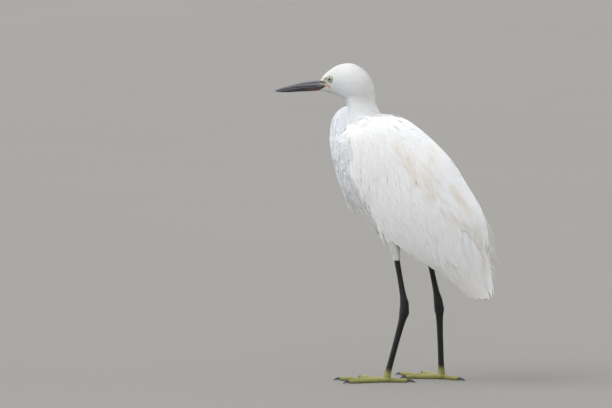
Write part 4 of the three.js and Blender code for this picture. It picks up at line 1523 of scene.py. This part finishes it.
def foot_shape(leg):
    """Four toes with pads below and scales above, and the ball of the foot where they part."""
    shape = Shape()
    middle = foot_middle(leg)
    radius_at = profile(TOE)

    def add(rings):
        rings[..., 2] = np.maximum(rings[..., 2], 0.0)
        body, quads, ends = lofted(rings)
        shape.add(body, quads, ends, Marking=np.tile([1.0, 0, 0], (len(body), 1)))

    for _, angle, length, _ in TOES:
        share = np.linspace(-0.04, 1.0, int(length * 2.2))
        radius = radius_at(share)
        path = middle + share[:, None] * length * toe_way(leg, angle)
        off = tube_rings(path, radius, radius * 0.93, 28) - path[:, None]
        above = smoothstep(off[..., 2] / radius[:, None], 0.1, 0.7)
        below = smoothstep(-off[..., 2] / radius[:, None], 0.2, 0.8)
        saw = (share * length / TOE_SCALE) % 1.0
        step = 0.22 * (saw[:, None] - 0.5) * above
        pad = 0.1 * np.sin(share * length * 3.2)[:, None] * below
        add(path[:, None] + off * (1 + (step + pad)[..., None] / 3.0))
    add(ball_rings(middle + FOOT_BALL_RISE, FOOT_BALL, 22))
    return shape


def claws_shape(leg):
    shape = Shape()
    drop, radius = columns(CLAW)
    for _, angle, length, claw in TOES:
        share = np.linspace(-0.2, 1.0, 26)
        path = foot_middle(leg) + (length + share * claw)[:, None] * toe_way(leg, angle)
        path[:, 2] = TOE_LEVEL - drop(share)
        size = radius(share) * lerp(1.0, 0.85, smoothstep(share, 0.6, 1))
        rings = tube_rings(path, size, size * 0.72, 18)
        rings[..., 2] = np.maximum(rings[..., 2], 0.02)
        shape.add(*lofted(rings))
    return shape


# Stage

CAMERA_AZIMUTH = 22
CAMERA_ELEVATION = 6
CAMERA_DISTANCE = 9000.0
SENSOR_WIDTH = 36
VIEW_WIDTH = 795.6
VIEW_OFFSET = (-103.35, 227.5)
# Half width of the floor in metres, so that its edges stay out of sight
FLOOR = 60.0


def towards(azimuth, elevation):
    """The direction from the bird to a camera or lamp, by angles in degrees."""
    a, e = math.radians(azimuth), math.radians(elevation)
    return Vector((math.sin(a) * math.cos(e), -math.cos(a) * math.cos(e), math.sin(e)))


def aimed(thing, back, place):
    """Puts a camera or lamp at a place, looking against the back direction."""
    right = Vector((0, 0, 1)).cross(back).normalized()
    up = back.cross(right)
    turn = Matrix((right, up, back)).transposed().to_4x4()
    thing.matrix_world = Matrix.Translation(place) @ turn


def make_camera():
    data = bpy.data.cameras.new("camera")
    camera = linked("camera", data)
    back = towards(CAMERA_AZIMUTH, CAMERA_ELEVATION)
    right = towards(CAMERA_AZIMUTH + 90, 0)
    up = back.cross(right)
    place = Vector(SHIFT) + right * VIEW_OFFSET[0] + up * VIEW_OFFSET[1] + back * CAMERA_DISTANCE
    aimed(camera, back, place * MM)
    data.sensor_width = SENSOR_WIDTH
    data.lens = CAMERA_DISTANCE * SENSOR_WIDTH / VIEW_WIDTH
    data.clip_end = 100
    bpy.context.scene.camera = camera


def soft_sun(name, azimuth, elevation, spread, strength, colour):
    """A broad soft source so far away that the whole floor is lit alike."""
    data = bpy.data.lights.new(name, "SUN")
    data.angle = math.radians(spread)
    data.energy = strength
    data.color = colour
    back = towards(azimuth, elevation)
    aimed(linked(name, data), back, back * 2)


# Settings that a user would change


def tint(name, description, colour):
    return FloatVectorProperty(
        name=name, description=description, subtype="COLOR", size=3, min=0, max=1, default=colour)


class EgretPlumage(bpy.types.PropertyGroup):
    white: tint("White", "Main colour of the feathers", (0.9, 0.895, 0.885))
    # Cool white is painted sky-lit shade on the breast and cheeks.
    painted_sky_shade: tint("Cool white", "Bluish white of breast and cheek", (0.8, 0.84, 0.9))
    cream: tint("Cream", "Wash on the back and wings", (0.76, 0.67, 0.53))
    # Shade: a random darker tone of some feathers, and painted shade at lock roots, along one edge of long
    # wing feathers and low by the thighs.
    shade: tint("Shade", "Darker tone of some feathers and roots", (0.6, 0.58, 0.55))
    voxel: FloatProperty(
        name="Skin detail", description="Edge of the skin's faces, in mm", min=0.8, max=4, default=1.6)


class EgretBareParts(bpy.types.PropertyGroup):
    face_skin: tint("Face skin", "Bare skin under the eye", (0.58, 0.44, 0.33))
    face_grey: tint("Grey skin", "Skin under the base of the bill", (0.22, 0.22, 0.22))
    lores: tint("Lores", "Bare skin before the eye", (0.26, 0.24, 0.14))
    lores_pale: tint("Pale lores", "Pale stripe beside the eye", (0.5, 0.56, 0.34))
    lores_edge: tint("Edge of the lores", "Line above the bill", (0.3, 0.23, 0.09))
    gape: tint("Gape", "Skin at the corner of the mouth", (0.56, 0.25, 0.13))
    eye_rim: tint("Eye rim", "Eyelids behind the eye", (0.26, 0.3, 0.26))
    iris: tint("Iris", "Colour of the iris", (0.42, 0.45, 0.32))
    bill: tint("Bill", "Slate black of the bill", (0.008, 0.008, 0.011))
    # Bill sheen: the pale of the grain in bill and claws, and the painted highlight along the top of the
    # upper bill.
    bill_grain_and_highlight: tint("Bill sheen", "Blue-grey band on the bill", (0.06, 0.068, 0.09))
    bill_base: tint("Bill base", "Base of the lower half", (0.11, 0.05, 0.033))
    leg: tint("Leg", "Black of the legs", (0.006, 0.006, 0.008))
    leg_pale: tint("Leg sheen", "Palest tone of the legs", (0.02, 0.022, 0.028))
    foot: tint("Foot", "Greenish yellow of the feet", (0.27, 0.26, 0.075))
    foot_pale: tint("Pale foot", "Palest tone of the feet", (0.4, 0.38, 0.14))
    claw: tint("Claw", "Dark horn of the claws", (0.015, 0.013, 0.012))


class EgretStage(bpy.types.PropertyGroup):
    floor: tint("Floor", "Colour of the floor", (0.21, 0.2, 0.186))
    key: FloatProperty(name="Key light", description="Strength of the main soft light", min=0, default=1.75)
    fill: FloatProperty(
        name="Fill light", description="Strength of the low light in front", min=0, default=1.0)
    sky: FloatProperty(name="Sky", description="Strength of the even light all round", min=0, default=1.12)


# Operators

# The skin and the materials that more than one piece needs
made = {}


def plumage(barbs=False):
    """The feathers' material, made when first asked for."""
    key = "plumage_vane" if barbs else "plumage_down"
    if key not in made:
        made[key] = plumage_material(key, barbs)
    return made[key]


def dress(name, shape, material, replaced=()):
    """Makes a piece of the model from a gathered shape."""
    return new_object(name, shape.mesh(name), material, replaced)


class EGRET_OT_skin(bpy.types.Operator):
    """Makes the one skin that the whole coat grows on."""

    bl_idname = "egret.skin"
    bl_label = "Skin"

    def execute(self, context):
        skin = Skin(context.scene.egret_plumage.voxel)
        mesh = skin.mesh
        points = skin.points()
        colour = np.ones((len(points), 4), np.float32)
        colour[:, :3] = face_paint(points)
        layer = mesh.color_attributes.new(name="Paint", type="FLOAT_COLOR", domain="POINT")
        layer.data.foreach_set("color", colour.ravel())
        mesh.uv_layers.new(name="OFBake")
        mesh.materials.clear()
        flesh = ("head", "upper_neck", "lower_neck", "torso", "left_thigh", "right_thigh")
        thing = new_object("skin", mesh, skin_material(), flesh)
        context.view_layer.objects.active = thing
        thing.select_set(True)
        bpy.ops.object.mode_set(mode="EDIT")
        bpy.ops.mesh.select_all(action="SELECT")
        bpy.ops.uv.smart_project(angle_limit=math.radians(66), island_margin=0.004)
        bpy.ops.object.mode_set(mode="OBJECT")
        thing.select_set(False)
        skin.learn()
        made["skin"] = skin
        return {"FINISHED"}


class EGRET_OT_coat(bpy.types.Operator):
    """Covers head, neck, breast, body and shoulders with small soft feathers."""

    bl_idname = "egret.coat"
    bl_label = "Small feathers"

    def execute(self, context):
        for name, grow in (
            ("coat_head", coat_head), ("coat_neck", coat_neck), ("coat_breast", coat_breast),
            ("coat_body", coat_body), ("coat_shoulders", coat_shoulders),
        ):
            dress(name, grow(made["skin"]).shape, plumage())
        return {"FINISHED"}


class EGRET_OT_wings(bpy.types.Operator):
    """Lays the rows of wing feathers and the feathers down the back."""

    bl_idname = "egret.wings"
    bl_label = "Wings"

    def execute(self, context):
        skin = made["skin"]
        for name, side in (("left_wing", -1), ("right_wing", 1)):
            shape = wing_feathers(skin, side).shape
            dress(name + "_feathers", shape, plumage(barbs=True), (name,))
        dress("mantle_feathers", mantle_feathers(skin).shape, plumage(barbs=True))
        dress("loose_filaments", loose_filaments(skin), plumage())
        return {"FINISHED"}


class EGRET_OT_tail(bpy.types.Operator):
    """Lays the tail feathers."""

    bl_idname = "egret.tail"
    bl_label = "Tail"

    def execute(self, context):
        shape = tail_feathers(made["skin"]).shape
        dress("tail_feathers", shape, plumage(barbs=True), ("tail",))
        return {"FINISHED"}


class EGRET_OT_plumes(bpy.types.Operator):
    """Hangs the loose locks on the lower breast."""

    bl_idname = "egret.plumes"
    bl_label = "Breast plumes"

    def execute(self, context):
        dress("breast_plumes", breast_plumes(made["skin"]), plumage())
        return {"FINISHED"}


class EGRET_OT_bill(bpy.types.Operator):
    """Makes both halves of the bill."""

    bl_idname = "egret.bill"
    bl_label = "Bill"

    def execute(self, context):
        for name, upper in (("upper_bill", True), ("lower_bill", False)):
            horn = name + "_horn"
            dress(horn, bill_half(upper), bill_material(horn, upper), (name,))
        return {"FINISHED"}


class EGRET_OT_eyes(bpy.types.Operator):
    """Makes the eyes and their lids."""

    bl_idname = "egret.eyes"
    bl_label = "Eyes"

    def execute(self, context):
        glass, rim = eye_material(), skin_material()
        for name, side in (("left_eye", -1), ("right_eye", 1)):
            dress(name + "_ball", eye_ball(side), glass, (name,))
            dress(name + "_lids", eye_lids(side), rim)
        return {"FINISHED"}


class EGRET_OT_legs(bpy.types.Operator):
    """Makes legs, feet and claws."""

    bl_idname = "egret.legs"
    bl_label = "Legs and feet"

    def execute(self, context):
        leg_scales = scale_material("leg_scales", 620, 0.25)
        foot_scales = scale_material("foot_scales", 760, 0.2)
        horn = claw_material()
        for name, leg in LEGS.items():
            toes = [name + "_" + toe[0] for toe in TOES]
            bones = (name + "_shin", name + "_tarsus")
            foot = (name + "_foot", *(toe + "_toe" for toe in toes))
            claws = tuple(toe + "_claw" for toe in toes)
            dress(name + "_leg", leg_shape(leg), leg_scales, bones)
            dress(name + "_toes", foot_shape(leg), foot_scales, foot)
            dress(name + "_claws", claws_shape(leg), horn, claws)
        return {"FINISHED"}


class EGRET_OT_stage(bpy.types.Operator):
    """Sets floor, lamps and camera."""

    bl_idname = "egret.stage"
    bl_label = "Stage"

    def execute(self, context):
        stage = context.scene.egret_stage
        corners = [(-FLOOR, -FLOOR, 0), (FLOOR, -FLOOR, 0), (FLOOR, FLOOR, 0), (-FLOOR, FLOOR, 0)]
        mesh = bpy.data.meshes.new("floor")
        mesh.from_pydata(corners, [], [(0, 1, 2, 3)])
        floor = linked("floor", mesh)
        material, tree, shader = nodes_of("floor", Roughness=0.9)
        patch = measured(tree, "MULTIPLY", noise(tree, 1.5, 2), 0.06)
        tree.links.new(mixed(tree, patch, stage.floor, (0.5, 0.48, 0.45)), shader.inputs["Base Color"])
        mesh.materials.append(material)
        world = bpy.data.worlds.new("studio")
        context.scene.world = world
        world.use_nodes = True
        background = world.node_tree.nodes["Background"]
        background.inputs[0].default_value = (0.95, 0.975, 1.0, 1)
        background.inputs[1].default_value = stage.sky
        soft_sun("key", -58, 52, 40, stage.key, (1.0, 0.98, 0.95))
        soft_sun("fill", -80, 8, 60, stage.fill, (0.94, 0.97, 1.0))
        context.scene.view_settings.view_transform = "Standard"
        make_camera()
        return {"FINISHED"}


PIECES = (
    EGRET_OT_skin, EGRET_OT_coat, EGRET_OT_wings, EGRET_OT_tail, EGRET_OT_plumes,
    EGRET_OT_bill, EGRET_OT_eyes, EGRET_OT_legs, EGRET_OT_stage,
)


class EGRET_PT_panel(bpy.types.Panel):
    """Lists the pieces of the bird and its settings."""

    bl_label = "Little egret"
    bl_idname = "EGRET_PT_panel"
    bl_space_type = "VIEW_3D"
    bl_region_type = "UI"
    bl_category = "Egret"

    def draw(self, context):
        layout = self.layout
        for piece in PIECES:
            layout.operator(piece.bl_idname)
        for group in (context.scene.egret_plumage, context.scene.egret_bare, context.scene.egret_stage):
            box = layout.box()
            for key in group.bl_rna.properties.keys():
                if key not in ("rna_type", "name"):
                    box.prop(group, key)


GROUPS = {"egret_plumage": EgretPlumage, "egret_bare": EgretBareParts, "egret_stage": EgretStage}


def register():
    for group in GROUPS.values():
        bpy.utils.register_class(group)
    for piece in PIECES:
        bpy.utils.register_class(piece)
    bpy.utils.register_class(EGRET_PT_panel)
    for name, group in GROUPS.items():
        setattr(bpy.types.Scene, name, PointerProperty(type=group))


def unregister():
    for name in GROUPS:
        delattr(bpy.types.Scene, name)
    bpy.utils.unregister_class(EGRET_PT_panel)
    for piece in reversed(PIECES):
        bpy.utils.unregister_class(piece)
    for group in reversed(GROUPS.values()):
        bpy.utils.unregister_class(group)


def main():
    register()
    bpy.ops.egret.skin()
    bpy.ops.egret.coat()
    bpy.ops.egret.wings()
    bpy.ops.egret.tail()
    bpy.ops.egret.plumes()
    bpy.ops.egret.bill()
    bpy.ops.egret.eyes()
    bpy.ops.egret.legs()
    bpy.ops.egret.stage()


if __name__ == "__main__":
    main()
